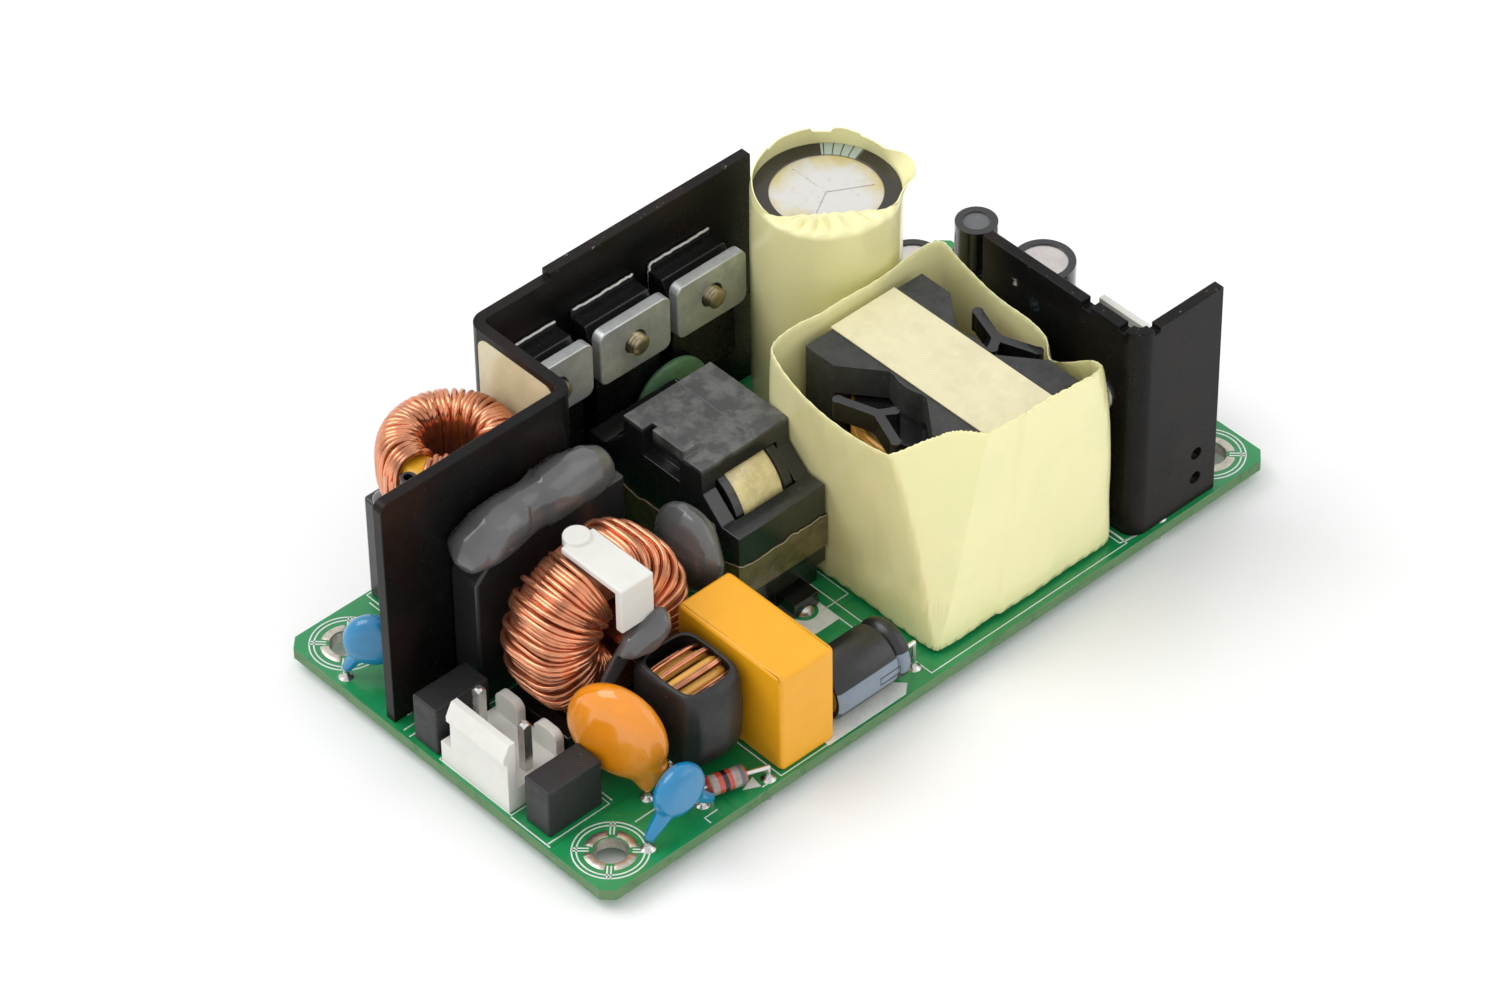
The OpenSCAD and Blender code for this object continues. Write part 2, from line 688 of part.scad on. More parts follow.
// Loop of film around the bulk capacitor, at a height, with a crinkled flare
function film_loop(r, z, flare, n = 40) = [for (j = [0 : n - 1])
    let (a = 360 * j / n, w = flare * (0.5 + 0.5 * sin(3 * a + 40) + 0.3 * sin(7 * a)))
    [(r + w) * cos(a), (r + w) * sin(a), z + w * 0.6]];

module bulk_capacitor_film() {
    r = bulk_d / 2 + 0.05;
    film_t = 0.3;
    rim = bulk_h + bulk_film_out;
    color([0.92, 0.88, 0.6]) at(bulk_at) skin([
        film_loop(r + film_t, 0.4, 0), film_loop(r + film_t, bulk_h - 0.5, 0),
        film_loop(r + film_t, bulk_h + 1, 0.3), film_loop(r + film_t, rim, 1),
        film_loop(r, rim, 1), film_loop(r, bulk_h + 1, 0.3),
        film_loop(r, bulk_h - 0.5, 0), film_loop(r, 0.4, 0)], ring = true);
}

// Outline of a ferrite plate from above: wide ends and a narrow waist
module core_outline() {
    a = core_l / 2;
    w = core_w / 2;
    n = core_waist / 2;
    end_y = 0.63 * a;
    waist_y = 0.24 * a;
    polygon([[w, a], [-w, a], [-w, end_y], [-n, waist_y], [-n, -waist_y], [-w, -end_y],
        [-w, -a], [w, -a], [w, -end_y], [n, -waist_y], [n, waist_y], [w, end_y]]);
}

// One half of the core with its plate down: plate, two curved legs and the round post
module core_half() {
    leg_r = coil_d / 2 + 2 * gap;
    linear_extrude(core_plate) core_outline();
    cylinder(d = core_post_d, h = core_h / 2);
    linear_extrude(core_h / 2) difference() {
        core_outline();
        circle(leg_r);
        square([core_w + 2, 2 * 0.63 * core_l / 2], center = true);
    }
}

module transformer_core() {
    color([0.1, 0.1, 0.1]) at(core_at, core_z) {
        core_half();
        translate([0, 0, core_h]) mirror([0, 0, 1]) core_half();
    }
}

// Straight wall between two places, round at both ends, on the plan
module wall_between(p, q, w) {
    v = q - p;
    translate(p) rotate(atan2(v[1], v[0])) translate([0, -w / 2]) square([norm(v), w]);
    translate(p) circle(d = 1.15 * w, $fn = 24);
    translate(q) circle(d = 1.15 * w, $fn = 24);
}

module transformer_bobbin() {
    flange_r = coil_d / 2;
    top_z = coil_z + coil_h;
    color([0.08, 0.08, 0.08]) at(core_at) {
        // Tube around the post with a flange at each end
        translate([0, 0, coil_z - flange_t]) difference() {
            union() {
                cylinder(r = tube_r + tube_wall, h = coil_h + 2 * flange_t);
                cylinder(r = flange_r, h = flange_t);
                translate([0, 0, coil_h + flange_t]) cylinder(r = flange_r, h = flange_t);
            }
            translate([0, 0, -1]) cylinder(r = tube_r, h = coil_h + 4);
        }
        for (k = [0, 1]) mirror([k, 0, 0]) {
            // Forked guide that parts the leads at the top flange
            translate([0, 0, top_z + flange_t / 2]) linear_extrude(2.8) {
                wall_between([8, -0.4], [9.7, 0.6], 1.2);
                wall_between([9.7, 0.6], [11.4, 5.6], 1.2);
                wall_between([9.7, 0.6], [11.6, -4.4], 1.2);
            }
            // Leg and pin rail beside the lower plate
            translate([core_w / 2 + gap, -8, core_z]) cube([1.4, 16, coil_z - core_z]);
            translate([core_w / 2 + gap, -9.6, 0]) cube([4.2, 19.2, core_z]);
            translate([core_waist / 2 + 0.6, -2.4, coil_z - flange_t]) cube([5.2, 4.8, flange_t]);
        }
    }
}

module transformer_winding() {
    color([0.8, 0.5, 0.15]) at(core_at, coil_z) rotate_extrude() {
        r = tube_r + tube_wall;
        square_w = coil_d / 2 - r;
        translate([r, 0]) round_rect([square_w, coil_h], 0.6);
    }
}

// Tape that holds the two core halves together, over the top and down both ends
module transformer_core_tape() {
    w = core_waist - 0.6;
    color([0.93, 0.89, 0.65]) at([core_at[0] - w / 2, core_at[1]], core_z) sideways(w) difference() {
        translate([-core_l / 2 - core_tape_t, -core_tape_t])
            square([core_l + 2 * core_tape_t, core_h + 2 * core_tape_t]);
        translate([-core_l / 2, 0]) square([core_l, core_h]);
    }
}

// Point of a smooth closed curve through a list of points, at a fraction past one of them
function smooth(points, i, t) =
    let (n = len(points), a = points[(i + n - 1) % n], b = points[i % n],
        c = points[(i + 1) % n], d = points[(i + 2) % n])
    0.5 * (2 * b + (c - a) * t + (2 * a - 5 * b + 4 * c - d) * t * t
        + (3 * b - a - 3 * c + d) * t * t * t);
function smooth_loop(points, steps) =
    [for (i = [0 : len(points) - 1], s = [0 : steps - 1]) smooth(points, i, s / steps)];

// Foot of the film on the board, counter-clockwise from the front left, about the core
function film_foot(grow) =
    let (a = film_half[0] + grow, b = film_half[1] + grow, c = 1.6)
    [[-a + c, -b], [-a / 3, -b], [a / 3, -b], [a - c, -b], [a, -b + c], [a, -b / 2],
        [a, -b / 5], [a, b / 3], [a, b - c], [a - c, b], [a / 3, b], [-a / 3, b],
        [-a + c, b], [-a, b - c], [-a, b / 3], [-a, -b / 3], [-a, -b + c]];

// How far the free rim stands out from the foot, and how it dips, point by point
film_rim = [[0.8, -0.4, 1.4], [0, -0.3, 0.8], [0, -0.2, 0], [-0.4, 1, -1.8], [-0.2, 2.2, -3.2],
    [-3.8, -0.3, -3.2], [-0.2, -0.2, -4], [0.2, 0, -3.8], [0.1, -1.6, -2], [0.4, 0, 0.2],
    [0, 0.3, -0.6], [0, 0.3, -0.4], [0, 0.2, 0], [-0.7, -0.6, -0.6], [-1.4, -0.4, -2.8],
    [-1.4, 0, -2.6], [-0.5, -0.2, 0.2]];
function film_row(k, grow) = smooth_loop([for (i = [0 : len(film_rim) - 1])
    let (p = film_foot(grow)[i], o = film_rim[i], s = pow(k, 4))
    [p[0] + o[0] * s, p[1] + o[1] * s, 0.3 + k * (film_top + o[2] - 0.3)]], 4);

// Film wrapped around the transformer, with an open wavy rim
module transformer_film() {
    steps = 4;
    color([0.92, 0.88, 0.6]) at(core_at) skin(concat(
        [for (k = [0 : steps]) film_row(k / steps, film_t)],
        [for (k = [steps : -1 : 0]) film_row(k / steps, 0)]), ring = true);
}

// Side outline of the boost choke: feet wider than the top, with slanted faces between
module choke_outline(z0) {
    a = choke_l / 2;
    b = choke_top_l / 2;
    step = 3;
    slant = choke_ledge_z + step;
    polygon([[-a, z0], [a, z0], [a, choke_ledge_z], [a - step, choke_ledge_z], [b + 0.2, slant],
        [b, choke_h], [-b, choke_h], [-b - 0.2, slant], [-a + step, choke_ledge_z],
        [-a, choke_ledge_z]]);
}

// Rounded section of the choke's winding, grown all round
module choke_coil_section(grow) {
    translate([-choke_coil_half_y - grow, choke_coil_z - grow])
        round_rect([2 * (choke_coil_half_y + grow), choke_coil_top - choke_coil_z + 2 * grow],
            0.42 * choke_coil_d + grow);
}

module boost_choke_shroud() {
    recess = [1.6, 6.3, 5];
    color([0.12, 0.12, 0.12]) at(choke_at) {
        difference() {
            translate([-choke_w / 2, 0, 0]) sideways(choke_w) choke_outline(choke_rail_h + 0.2);
            // Room for the bobbin, open through the slanted faces
            translate([-choke_window_w / 2, 0, 0]) sideways(choke_window_w)
                choke_coil_section(choke_flange_grow + gap);
            // Latch recess in the left face
            translate([-choke_w / 2 - 1, -2.9, choke_h - 4.2])
                cube([recess[0] + 1, recess[1], recess[2]]);
        }
        // Latch tab over the recess
        translate([-choke_w / 2, -3.7, choke_h - 1.2]) cube([1, 5.4, 2.2]);
        translate([-choke_w / 2, -3.7, choke_h - 1.2]) cube([2.4, 0.8, 2.2]);
    }
}

module boost_choke_bobbin() {
    inner = 5.4;
    color([0.05, 0.05, 0.05]) at(choke_at) difference() {
        union() {
            for (x = [-choke_coil_w / 2 - choke_flange_t, choke_coil_w / 2])
                translate([x, 0, 0]) sideways(choke_flange_t) choke_coil_section(choke_flange_grow);
            translate([-choke_coil_w / 2, 0, 0]) sideways(choke_coil_w)
                choke_coil_section(-inner);
            // Rails with the pins, and the foot that stands out in front
            for (k = [0, 1]) mirror([0, k, 0]) translate([-6.2, 7.2, 0])
                cube([12.4, 5.2, choke_rail_h]);
            translate([-0.6, -choke_l / 2 - 2.6, 0.2]) cube([4, 3.6, 2]);
        }
        // Through hole for the core's middle leg
        translate([-choke_w / 2, 0, 0]) sideways(choke_w) choke_coil_section(-inner - 1);
    }
}

module boost_choke_winding() {
    color([0.93, 0.86, 0.6]) at(choke_at) translate([-choke_coil_w / 2, 0, 0])
        sideways(choke_coil_w) difference() {
            choke_coil_section(0);
            choke_coil_section(-5.4);
        }
}

// Amber tape around the lower part of the choke
module boost_choke_tape() {
    t = 0.15;
    z = 5.8;
    h = 5.3;
    color([0.6, 0.45, 0.15]) at(choke_at, z) linear_extrude(h) difference() {
        square([choke_w + 2 * t, choke_l + 2 * t], center = true);
        square([choke_w, choke_l], center = true);
    }
}

// Places a toroid that stands up with its axis along Y
module at_filter() {
    at(filter_at, filter_z) rotate([90, 0, 0]) children();
}

module filter_choke_core() {
    color([0.15, 0.3, 0.2]) at_filter()
        toroid_core(filter_d - 2 * filter_layer - 2 * gap, filter_t - 2 * filter_layer - 2 * gap,
            filter_bore + 2 * filter_layer + 2 * gap);
}

// Angle at which a winding meets the side of the divider
divider_x = -0.4;
function divider_edge(side) =
    atan2(filter_d / 2 - filter_layer, divider_x + side * (divider_w / 2 + gap));

// Half of the line filter winding: a shell of wire over the core
module filter_half(from, to) {
    at_filter() difference() {
        wound_toroid(filter_d, filter_t, filter_bore, filter_turns, filter_wire, from, to, 14);
        toroid_core(filter_d - 2 * filter_layer, filter_t - 2 * filter_layer,
            filter_bore + 2 * filter_layer);
    }
}

module filter_winding_left() {
    color([0.8, 0.45, 0.25]) filter_half(divider_edge(-1), 250);
}

module filter_winding_right() {
    color([0.8, 0.45, 0.25]) filter_half(-70, divider_edge(1));
}

// White divider between the halves: a bridge over the core with a tongue down the front
module filter_divider() {
    r = filter_d / 2 - filter_layer;
    front = filter_t / 2 + 2.4;
    back = filter_t / 2 - 3.6;
    tongue = [divider_w, 1.2, 5.6];
    knob_d = 3.4;
    color([0.95, 0.95, 0.93]) at([filter_at[0] + divider_x, filter_at[1]], filter_z + r) {
        translate([-divider_w / 2, -front, 0]) cube([divider_w, front + back, bridge_t]);
        translate([-divider_w / 2, -front, -tongue[2]]) cube(tongue);
        // Round end that grips the core at the back
        translate([0, back, 0]) cylinder(d = knob_d, h = bridge_t + 0.5);
    }
}

module filter_base() {
    l = 19;
    w = filter_t - 0.6;
    color([0.07, 0.07, 0.07]) at([filter_at[0] - l / 2, filter_at[1] - w / 2]) difference() {
        cube([l, w, 3.2]);
        translate([l / 2, w + 1, filter_z]) rotate([90, 0, 0])
            cylinder(d = filter_d + 2 * gap, h = w + 2);
    }
}

module at_rear_toroid() {
    at(rear_toroid_at, rear_toroid_z) children();
}

module rear_toroid_core() {
    color([0.9, 0.65, 0.1]) at_rear_toroid()
        toroid_core(rear_d - 2 * rear_layer - 2 * gap, rear_t - 2 * rear_layer - 2 * gap,
            rear_bore + 2 * rear_layer + 2 * gap);
}

module rear_toroid_winding() {
    color([0.8, 0.45, 0.25]) at_rear_toroid() difference() {
        wound_toroid(rear_d, rear_t, rear_bore, rear_turns, rear_wire,
            rear_gap_at + rear_gap_half, rear_gap_at + 360 - rear_gap_half);
        toroid_core(rear_d - 2 * rear_layer, rear_t - 2 * rear_layer, rear_bore + 2 * rear_layer);
    }
}

// Black sleeve on the lead that comes down through the gap in the rear winding
module rear_toroid_lead_sleeve() {
    foot = 1;
    top = rear_toroid_z + rear_t / 2 - 1;
    color([0.05, 0.05, 0.05]) at(rear_toroid_leads()[0], foot) difference() {
        cylinder(d = 2, h = top - foot);
        translate([0, 0, -1]) cylinder(d = rear_wire + gap, h = top + 2);
    }
}

module rear_film_capacitor() {
    color([0.12, 0.12, 0.12]) at(rear_box_at) round_box(rear_box_size, box_edge_r);
}

module front_film_capacitor() {
    s = front_box_size;
    c = front_box_cut;
    color([0.1, 0.1, 0.1]) at(front_box_at) upright(s[1])
        polygon([[0, 0], [s[0], 0], [s[0], s[2]], [c, s[2]], [0, s[2] - c]]);
}

module orange_film_capacitor() {
    color([0.98, 0.7, 0.1]) at(orange_at) intersection() {
        round_box(orange_size, box_edge_r);
        upright(orange_size[1]) round_rect([orange_size[0], orange_size[2]], box_edge_r);
    }
}

module at_sleeved() {
    at(sleeved_at, sleeved_z) rotate([0, 90, 0]) children();
}

module sleeved_toroid_core() {
    color([0.3, 0.3, 0.3]) at_sleeved()
        toroid_core(sleeved_d - 2 * sleeved_layer - 4 * gap - 2 * sleeve_wall,
            sleeved_t - 2 * sleeved_layer - 4 * gap - 2 * sleeve_wall,
            sleeved_bore + 2 * sleeved_layer + 2 * gap);
}

module sleeved_toroid_winding() {
    d = sleeved_d - 2 * sleeve_wall - 2 * gap;
    t = sleeved_t - 2 * sleeve_wall - 2 * gap;
    color([0.9, 0.65, 0.25]) at_sleeved() difference() {
        wound_toroid(d, t, sleeved_bore, sleeved_turns, 0.8, n = 10);
        toroid_core(d - 2 * sleeved_layer, t - 2 * sleeved_layer,
            sleeved_bore + 2 * sleeved_layer);
    }
}

// Loop of the shrunk sleeve at a height, rounder at the ends than in the middle
function sleeve_loop(half_x, half_y, z, n = 32) = [for (j = [0 : n - 1])
    [half_x * boxy(cos(360 * j / n), 0.4), half_y * boxy(sin(360 * j / n), 0.4), z]];

// Shrunk sleeve: an upright tube over the standing toroid, drawn in at both mouths
module toroid_shrink_sleeve() {
    x = sleeved_t / 2;
    y = sleeved_d / 2;
    w = sleeve_wall;
    h = [-1, -0.7, 0, 0.6, 0.86, 0.98];
    s = [0.62, 0.93, 1, 0.98, 0.9, 0.76];
    mouth = [for (i = [0 : len(h) - 1]) sleeve_loop(x * (1 + s[i]) / 2, y * s[i], y * h[i])];
    inner = [for (i = [len(h) - 1 : -1 : 0])
        sleeve_loop(x * (1 + s[i]) / 2 - w, y * s[i] - w, y * h[i])];
    color([0.1, 0.1, 0.1]) at(sleeved_at, sleeved_z) skin(concat(mouth, inner), ring = true);
}

// Dipped disc with its axis along X: a lens swept round
module dipped_disc(d, t) {
    steps = 10;
    rotate([0, 90, 0]) rotate_extrude() polygon([for (k = [0 : steps])
        let (a = 180 * k / steps - 90) [d / 2 * pow(abs(cos(a)), 0.42), t / 2 * sin(a)]]);
}

module varistor() {
    drop = 1.4;
    color([0.95, 0.55, 0.1]) at(varistor_at, varistor_z) rotate(varistor_turn) {
        dipped_disc(varistor_d, varistor_t);
        // Coating that runs down the leads
        for (k = [-1, 1]) translate([0, 3.75 * k, -varistor_d / 2 - drop])
            cylinder(d1 = 1.2, d2 = 0.8 * varistor_t, h = drop + 3.4, $fn = 24);
    }
}

// Small dipped disc between two feet on the board, with coated legs spread to them
module y_capacitor(feet) {
    centre = (feet[0] + feet[1]) / 2;
    v = feet[1] - feet[0];
    half = norm(v) / 2;
    at(centre) rotate(atan2(v[1], v[0])) {
        translate([0, 0, disc_z]) rotate([0, 0, 90]) dipped_disc(disc_d, disc_t);
        for (k = [-1, 1]) wire([k * half, 0, 1.2], [k * disc_d * 0.22, 0, disc_z - disc_d * 0.22],
            1.3, 0.8 * disc_t);
    }
}

module y_capacitor_front() {
    color([0.1, 0.5, 0.8]) y_capacitor(front_disc_feet);
}

module y_capacitor_rear() {
    color([0.1, 0.5, 0.8]) y_capacitor(rear_disc_feet);
}

module surge_arrester() {
    v = arrester_ends[1] - arrester_ends[0];
    l = norm(v);
    color([0.75, 0.3, 0.2]) at(arrester_ends[0], arrester_z) rotate([0, 90, atan2(v[1], v[0])])
        rotate_extrude() {
            square([arrester_d / 2, 1]);
            translate([0, 1]) square([arrester_d / 2 - 0.25, l - 2]);
            translate([0, l - 1]) square([arrester_d / 2, 1]);
            translate([0, l / 2 - 0.3]) square([arrester_d / 2, 0.6]);
        }
}

// Small capacitor that lies on the board with its leads bent down at the right
module lying_capacitor() {
    color([0.08, 0.08, 0.1]) at(lying_at, lying_d / 2) rotate([0, 90, 0])
        rotate_extrude() difference() {
            union() {
                translate([0, 0.4]) square([lying_d / 2, lying_l - 0.8]);
                square([lying_d / 2 - 0.4, lying_l]);
                translate([lying_d / 2 - 0.4, 0.4]) circle(0.4, $fn = 24);
                translate([lying_d / 2 - 0.4, lying_l - 0.4]) circle(0.4, $fn = 24);
            }
            translate([lying_d / 2 + 0.4, lying_l - 1.8]) circle(0.8, $fn = 24);
        }
}

module inrush_thermistor() {
    color([0.2, 0.4, 0.2]) at(thermistor_at, thermistor_z) rotate([0, 0, 90])
        dipped_disc(thermistor_d, thermistor_t);
}

module input_fuses() {
    color([0.12, 0.12, 0.12]) for (p = fuse_ats) at(p) round_box(fuse_size, 0.3);
}

// Header with a locking wall on the side at x = 0 and two low guides on the other side
module header(l) {
    lip = 0.5;
    guide_l = min(4.4, l / 3);
    difference() {
        union() {
            cube([header_w, l, header_base_h]);
            // Locking wall with its bevelled lip
            upright(l - 1.8) polygon([[0, 0], [header_wall_t, 0], [header_wall_t, header_wall_h],
                [0.4, header_wall_h], [-lip, header_wall_h - 1.8], [-lip, header_wall_h - 2.6],
                [0, header_wall_h - 2.8]]);
        }
        // Rounded edges of the base at the far side
        translate([header_w - 0.4, -1, header_base_h - 0.4]) cube([1, l + 2, 1]);
    }
    for (y = [0.6, l - guide_l - 0.6]) translate([header_w - 1.7, y, header_base_h - 1])
        sideways(1.2) round_rect([guide_l, 4.4], 1.2);
}

module header_with_holes(l, pins) {
    difference() {
        header(l);
        for (p = pins) translate([p[0] - pin_w / 2, p[1] - pin_w / 2, -1])
            cube([pin_w, pin_w, header_base_h + 2]);
    }
}

module input_header() {
    color([0.93, 0.92, 0.88]) at(input_at)
        header_with_holes(input_l, [for (p = pins_of(input_pins_at, 3, 1)) p - input_at]);
}

module output_header() {
    corner = [output_end_x, output_y + output_l / 2];
    color([0.93, 0.92, 0.88]) at(corner) rotate(180)
        header_with_holes(output_l, [for (p = pins_of(output_pins_at, output_pins)) corner - p]);
}

// Square pins with a pointed tip
module header_pins(places) {
    tip = 0.8;
    for (p = places) at(p) intersection() {
        translate([-pin_w / 2, -pin_w / 2, 0]) cube([pin_w, pin_w, pin_h]);
        union() {
            cylinder(r = pin_w, h = pin_h - tip);
            translate([0, 0, pin_h - tip]) cylinder(r1 = pin_w, r2 = pin_w * 0.3, h = tip);
        }
    }
}

module input_header_pins() {
    color("silver") header_pins(pins_of(input_pins_at, 3, 1));
}

module output_header_pins() {
    color("silver") header_pins(pins_of(output_pins_at, output_pins));
}

module output_capacitors() {
    d = output_cap_d - 2 * small_sleeve_t;
    color([0.8, 0.8, 0.8]) {
        at(output_cap_at, 0.1) can(d, output_cap_h - small_sleeve_t - 0.1);
        at(low_cap_at, 0.1) can(d, low_cap_h - small_sleeve_t - 0.1);
    }
}

module output_capacitor_sleeves() {
    d = output_cap_d - 2 * small_sleeve_t;
    disc_r = output_cap_d / 2 - 1;
    color([0.08, 0.08, 0.1]) {
        at(output_cap_at) can_sleeve(d, output_cap_h - small_sleeve_t, disc_r, small_sleeve_t);
        at(low_cap_at) can_sleeve(d, low_cap_h - small_sleeve_t, disc_r, small_sleeve_t);
    }
}

// Drum core: a wide foot with the winding, and a narrower head
module drum_inductor() {
    head_r = 0.36 * drum_d;
    body_r = drum_d / 2 - small_sleeve_t;
    color([0.4, 0.4, 0.4]) at(drum_at, 0.2) {
        cylinder(r = body_r, h = drum_h * 0.72);
        cylinder(r = head_r - small_sleeve_t, h = drum_h - 0.4);
    }
}

module drum_inductor_sleeve() {
    head_r = 0.36 * drum_d;
    body_r = drum_d / 2;
    w = small_sleeve_t;
    neck = drum_h * 0.72 + 0.2;
    color([0.07, 0.07, 0.07]) at(drum_at) rotate_extrude() {
        translate([body_r - w, 0.3]) square([w, neck - 0.3]);
        translate([head_r - w, neck]) square([body_r - head_r + w, w]);
        translate([head_r - w, neck]) square([w, drum_h - neck]);
        translate([0.62 * head_r, drum_h - w]) square([0.38 * head_r, w]);
    }
}

// Round section across a bead of sealant that runs along a line on the plan
function bead_row(p, angle, half_w, half_h, n = 14) = [for (j = [0 : n - 1])
    let (a = 360 * j / n)
    [p[0] - sin(angle) * half_w * cos(a), p[1] + cos(angle) * half_w * cos(a), p[2] + half_h * sin(a)]];

// Bead of sealant through places with a half width and a half height at each
module bead(places) {
    n = len(places);
    skin([for (i = [0 : n - 1])
        let (p = places[i], a = places[max(i - 1, 0)], b = places[min(i + 1, n - 1)])
        bead_row([p[0], p[1], p[2]], atan2(b[1] - a[1], b[0] - a[0]), p[3], p[4])]);
}

// Rounded lump of sealant, longest along Y
function lump(centre, size, steps = 10) = [for (k = [0 : steps])
    let (a = 180 * k / steps, s = max(sin(a), 0.15))
    [centre[0], centre[1] - size[1] * cos(a), centre[2], size[0] * s, size[2] * s]];

// Grey sealant that ties the front capacitor, the filter choke and the toroid together
module sealant_beads() {
    x = front_box_at[0];
    y = front_box_at[1] + front_box_size[1] / 2 - 0.4;
    z = front_box_size[2];
    color([0.35, 0.35, 0.35]) {
        // Bead along the top of the front capacitor
        difference() {
            at([0, 0]) bead([[x - 1.4, y, z + 0.4, 0.4, 0.5], [x - 0.4, y, z + 0.8, 2.6, 2.4],
                [x + 2.6, y, z + 1.6, 3.6, 3.8], [x + 6.6, y, z + 2, 3.2, 3.7],
                [x + 10, y, z + 2.2, 2.7, 3.4], [x + 15, y, z + 2.2, 3, 3.7],
                [x + 19, y, z + 2, 2.9, 3.6], [x + 21.6, y, z + 1.2, 2.2, 2.8],
                [x + 22.8, y, z + 0.6, 0.5, 0.5]]);
            front_film_capacitor();
            at([0, sink_front_at[1] - gap]) cube([board_l, 10, 60]);
        }
        // Bead between the filter choke and the sleeved toroid
        difference() {
            at([filter_at[0], filter_at[1] - filter_t / 2], filter_z)
                bead([[-6.4, -1.5, -3.9, 0.4, 0.8], [-4.6, -1.7, -2.3, 1.3, 2.2],
                    [-2.2, -2.3, 0.7, 1.8, 2.8], [0.6, -2.7, 2.9, 2.1, 2.4],
                    [2.8, -2.9, 3.9, 1.8, 1.8], [3.8, -2.9, 4.1, 0.5, 0.6]]);
            filter_divider();
            // Room for the sleeved toroid below
            at([0, 0]) cube([board_l, sleeved_at[1] + sleeved_d / 2 + gap,
                sleeved_z + sleeved_d / 2 + gap]);
        }
        // Bead behind the filter choke on the right
        at([filter_at[0] + filter_d / 2, filter_at[1]], filter_z)
            bead(lump([3.3, 0.5, 0.8], [2.8, 5.6, 6.2]));
        // Seat of the rear toroid on the capacitor below it
        at(rear_toroid_at, rear_box_size[2] + rear_toroid_seat / 2)
            bead(lump([-5.8, 3.8, 0], [2.2, 3.4, rear_toroid_seat / 2 - 0.15]));
    }
}

module straight_leads(places, d, h) {
    for (p = places) at(p) cylinder(d = d, h = h, $fn = 16);
}

// Every lead that shows between a part and the board
module component_leads() {
    lead_d = 0.8;
    package_foot = package_top_z - package_h;
    rectifier_foot = rectifier_screw_z + 3.2 - package_h;
    copper_top = rear_box_size[2] + 3.4;
    color([0.75, 0.75, 0.72]) {
        straight_leads(transistor_leads(), lead_d, package_foot);
        straight_leads(rectifier_leads(), lead_d, rectifier_foot);
        straight_leads(varistor_leads(), lead_d, varistor_z - varistor_d / 2 - 1.4);
        straight_leads(disc_leads(), 0.6, 1);
        straight_leads(thermistor_leads(), lead_d, thermistor_z - thermistor_d / 2 + 0.4);
        straight_leads([choke_leads()[4]], lead_d, 0.2);
        for (i = [1, 2]) at(rear_toroid_leads()[i]) cylinder(d = rear_wire, h = copper_top, $fn = 16);
        for (k = [0, 1]) {
            foot = arrester_leads()[k];
            end = arrester_ends[k];
            at([0, 0]) bent_wire([[foot[0], foot[1], 0], [foot[0], foot[1], arrester_z],
                [end[0], end[1], arrester_z]], 0.6);
        }
        for (p = lying_leads())
            at([0, 0]) bent_wire([[p[0], p[1], 0], [p[0], p[1], lying_d / 2],
                [lying_at[0] + lying_l, p[1], lying_d / 2]], 0.6);
    }
}

circuit_board();
mounting_rings();
solder_joints();
underside_chips();
primary_heatsink();
heatsink_tape();
power_transistors();
transistor_insulators();
clamp_blocks();
clamp_screws();
secondary_heatsink();
output_rectifiers();
rectifier_screws();
bulk_capacitor();
bulk_capacitor_sleeve();
bulk_capacitor_film();
transformer_core();
transformer_bobbin();
transformer_winding();
transformer_core_tape();
transformer_film();
boost_choke_shroud();
boost_choke_bobbin();
boost_choke_winding();
boost_choke_tape();
filter_choke_core();
filter_winding_left();
filter_winding_right();
filter_divider();
filter_base();
rear_toroid_core();
rear_toroid_winding();
rear_toroid_lead_sleeve();
rear_film_capacitor();
front_film_capacitor();
orange_film_capacitor();
sleeved_toroid_core();
sleeved_toroid_winding();
toroid_shrink_sleeve();
varistor();
y_capacitor_front();
y_capacitor_rear();
surge_arrester();
lying_capacitor();
inrush_thermistor();
input_fuses();
input_header();
input_header_pins();
output_header();
output_header_pins();
output_capacitors();
output_capacitor_sleeves();
drum_inductor();
drum_inductor_sleeve();
sealant_beads();
component_leads();
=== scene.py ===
import json
import math
import random

import bmesh
import bpy
from bpy.props import FloatProperty, FloatVectorProperty, IntProperty, PointerProperty
from bpy.types import Operator, Panel, PropertyGroup
from mathutils import Euler, Matrix, Vector, noise


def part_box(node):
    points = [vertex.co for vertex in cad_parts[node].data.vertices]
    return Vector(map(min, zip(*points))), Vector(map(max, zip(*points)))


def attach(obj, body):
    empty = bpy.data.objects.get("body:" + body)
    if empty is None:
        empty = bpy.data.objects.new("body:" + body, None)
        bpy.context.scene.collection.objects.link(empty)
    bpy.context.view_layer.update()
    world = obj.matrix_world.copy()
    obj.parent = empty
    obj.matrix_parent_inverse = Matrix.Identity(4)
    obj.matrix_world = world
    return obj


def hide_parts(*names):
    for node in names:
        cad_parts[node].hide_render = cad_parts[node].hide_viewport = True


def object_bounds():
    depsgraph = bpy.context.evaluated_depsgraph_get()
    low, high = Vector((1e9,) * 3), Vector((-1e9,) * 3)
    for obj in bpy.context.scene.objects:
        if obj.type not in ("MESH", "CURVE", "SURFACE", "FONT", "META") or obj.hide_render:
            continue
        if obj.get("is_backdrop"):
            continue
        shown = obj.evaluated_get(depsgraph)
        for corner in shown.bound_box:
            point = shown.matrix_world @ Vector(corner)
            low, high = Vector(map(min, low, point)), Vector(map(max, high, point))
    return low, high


bl_info = {
    "name": "Open Frame Power Supply",
    "version": (1, 0, 0),
    "blender": (4, 5, 0),
    "location": "View3D > Sidebar > Power Supply",
    "description": "Dresses a packed power supply board with windings, films, finishes and small parts",
    "category": "Object",
}

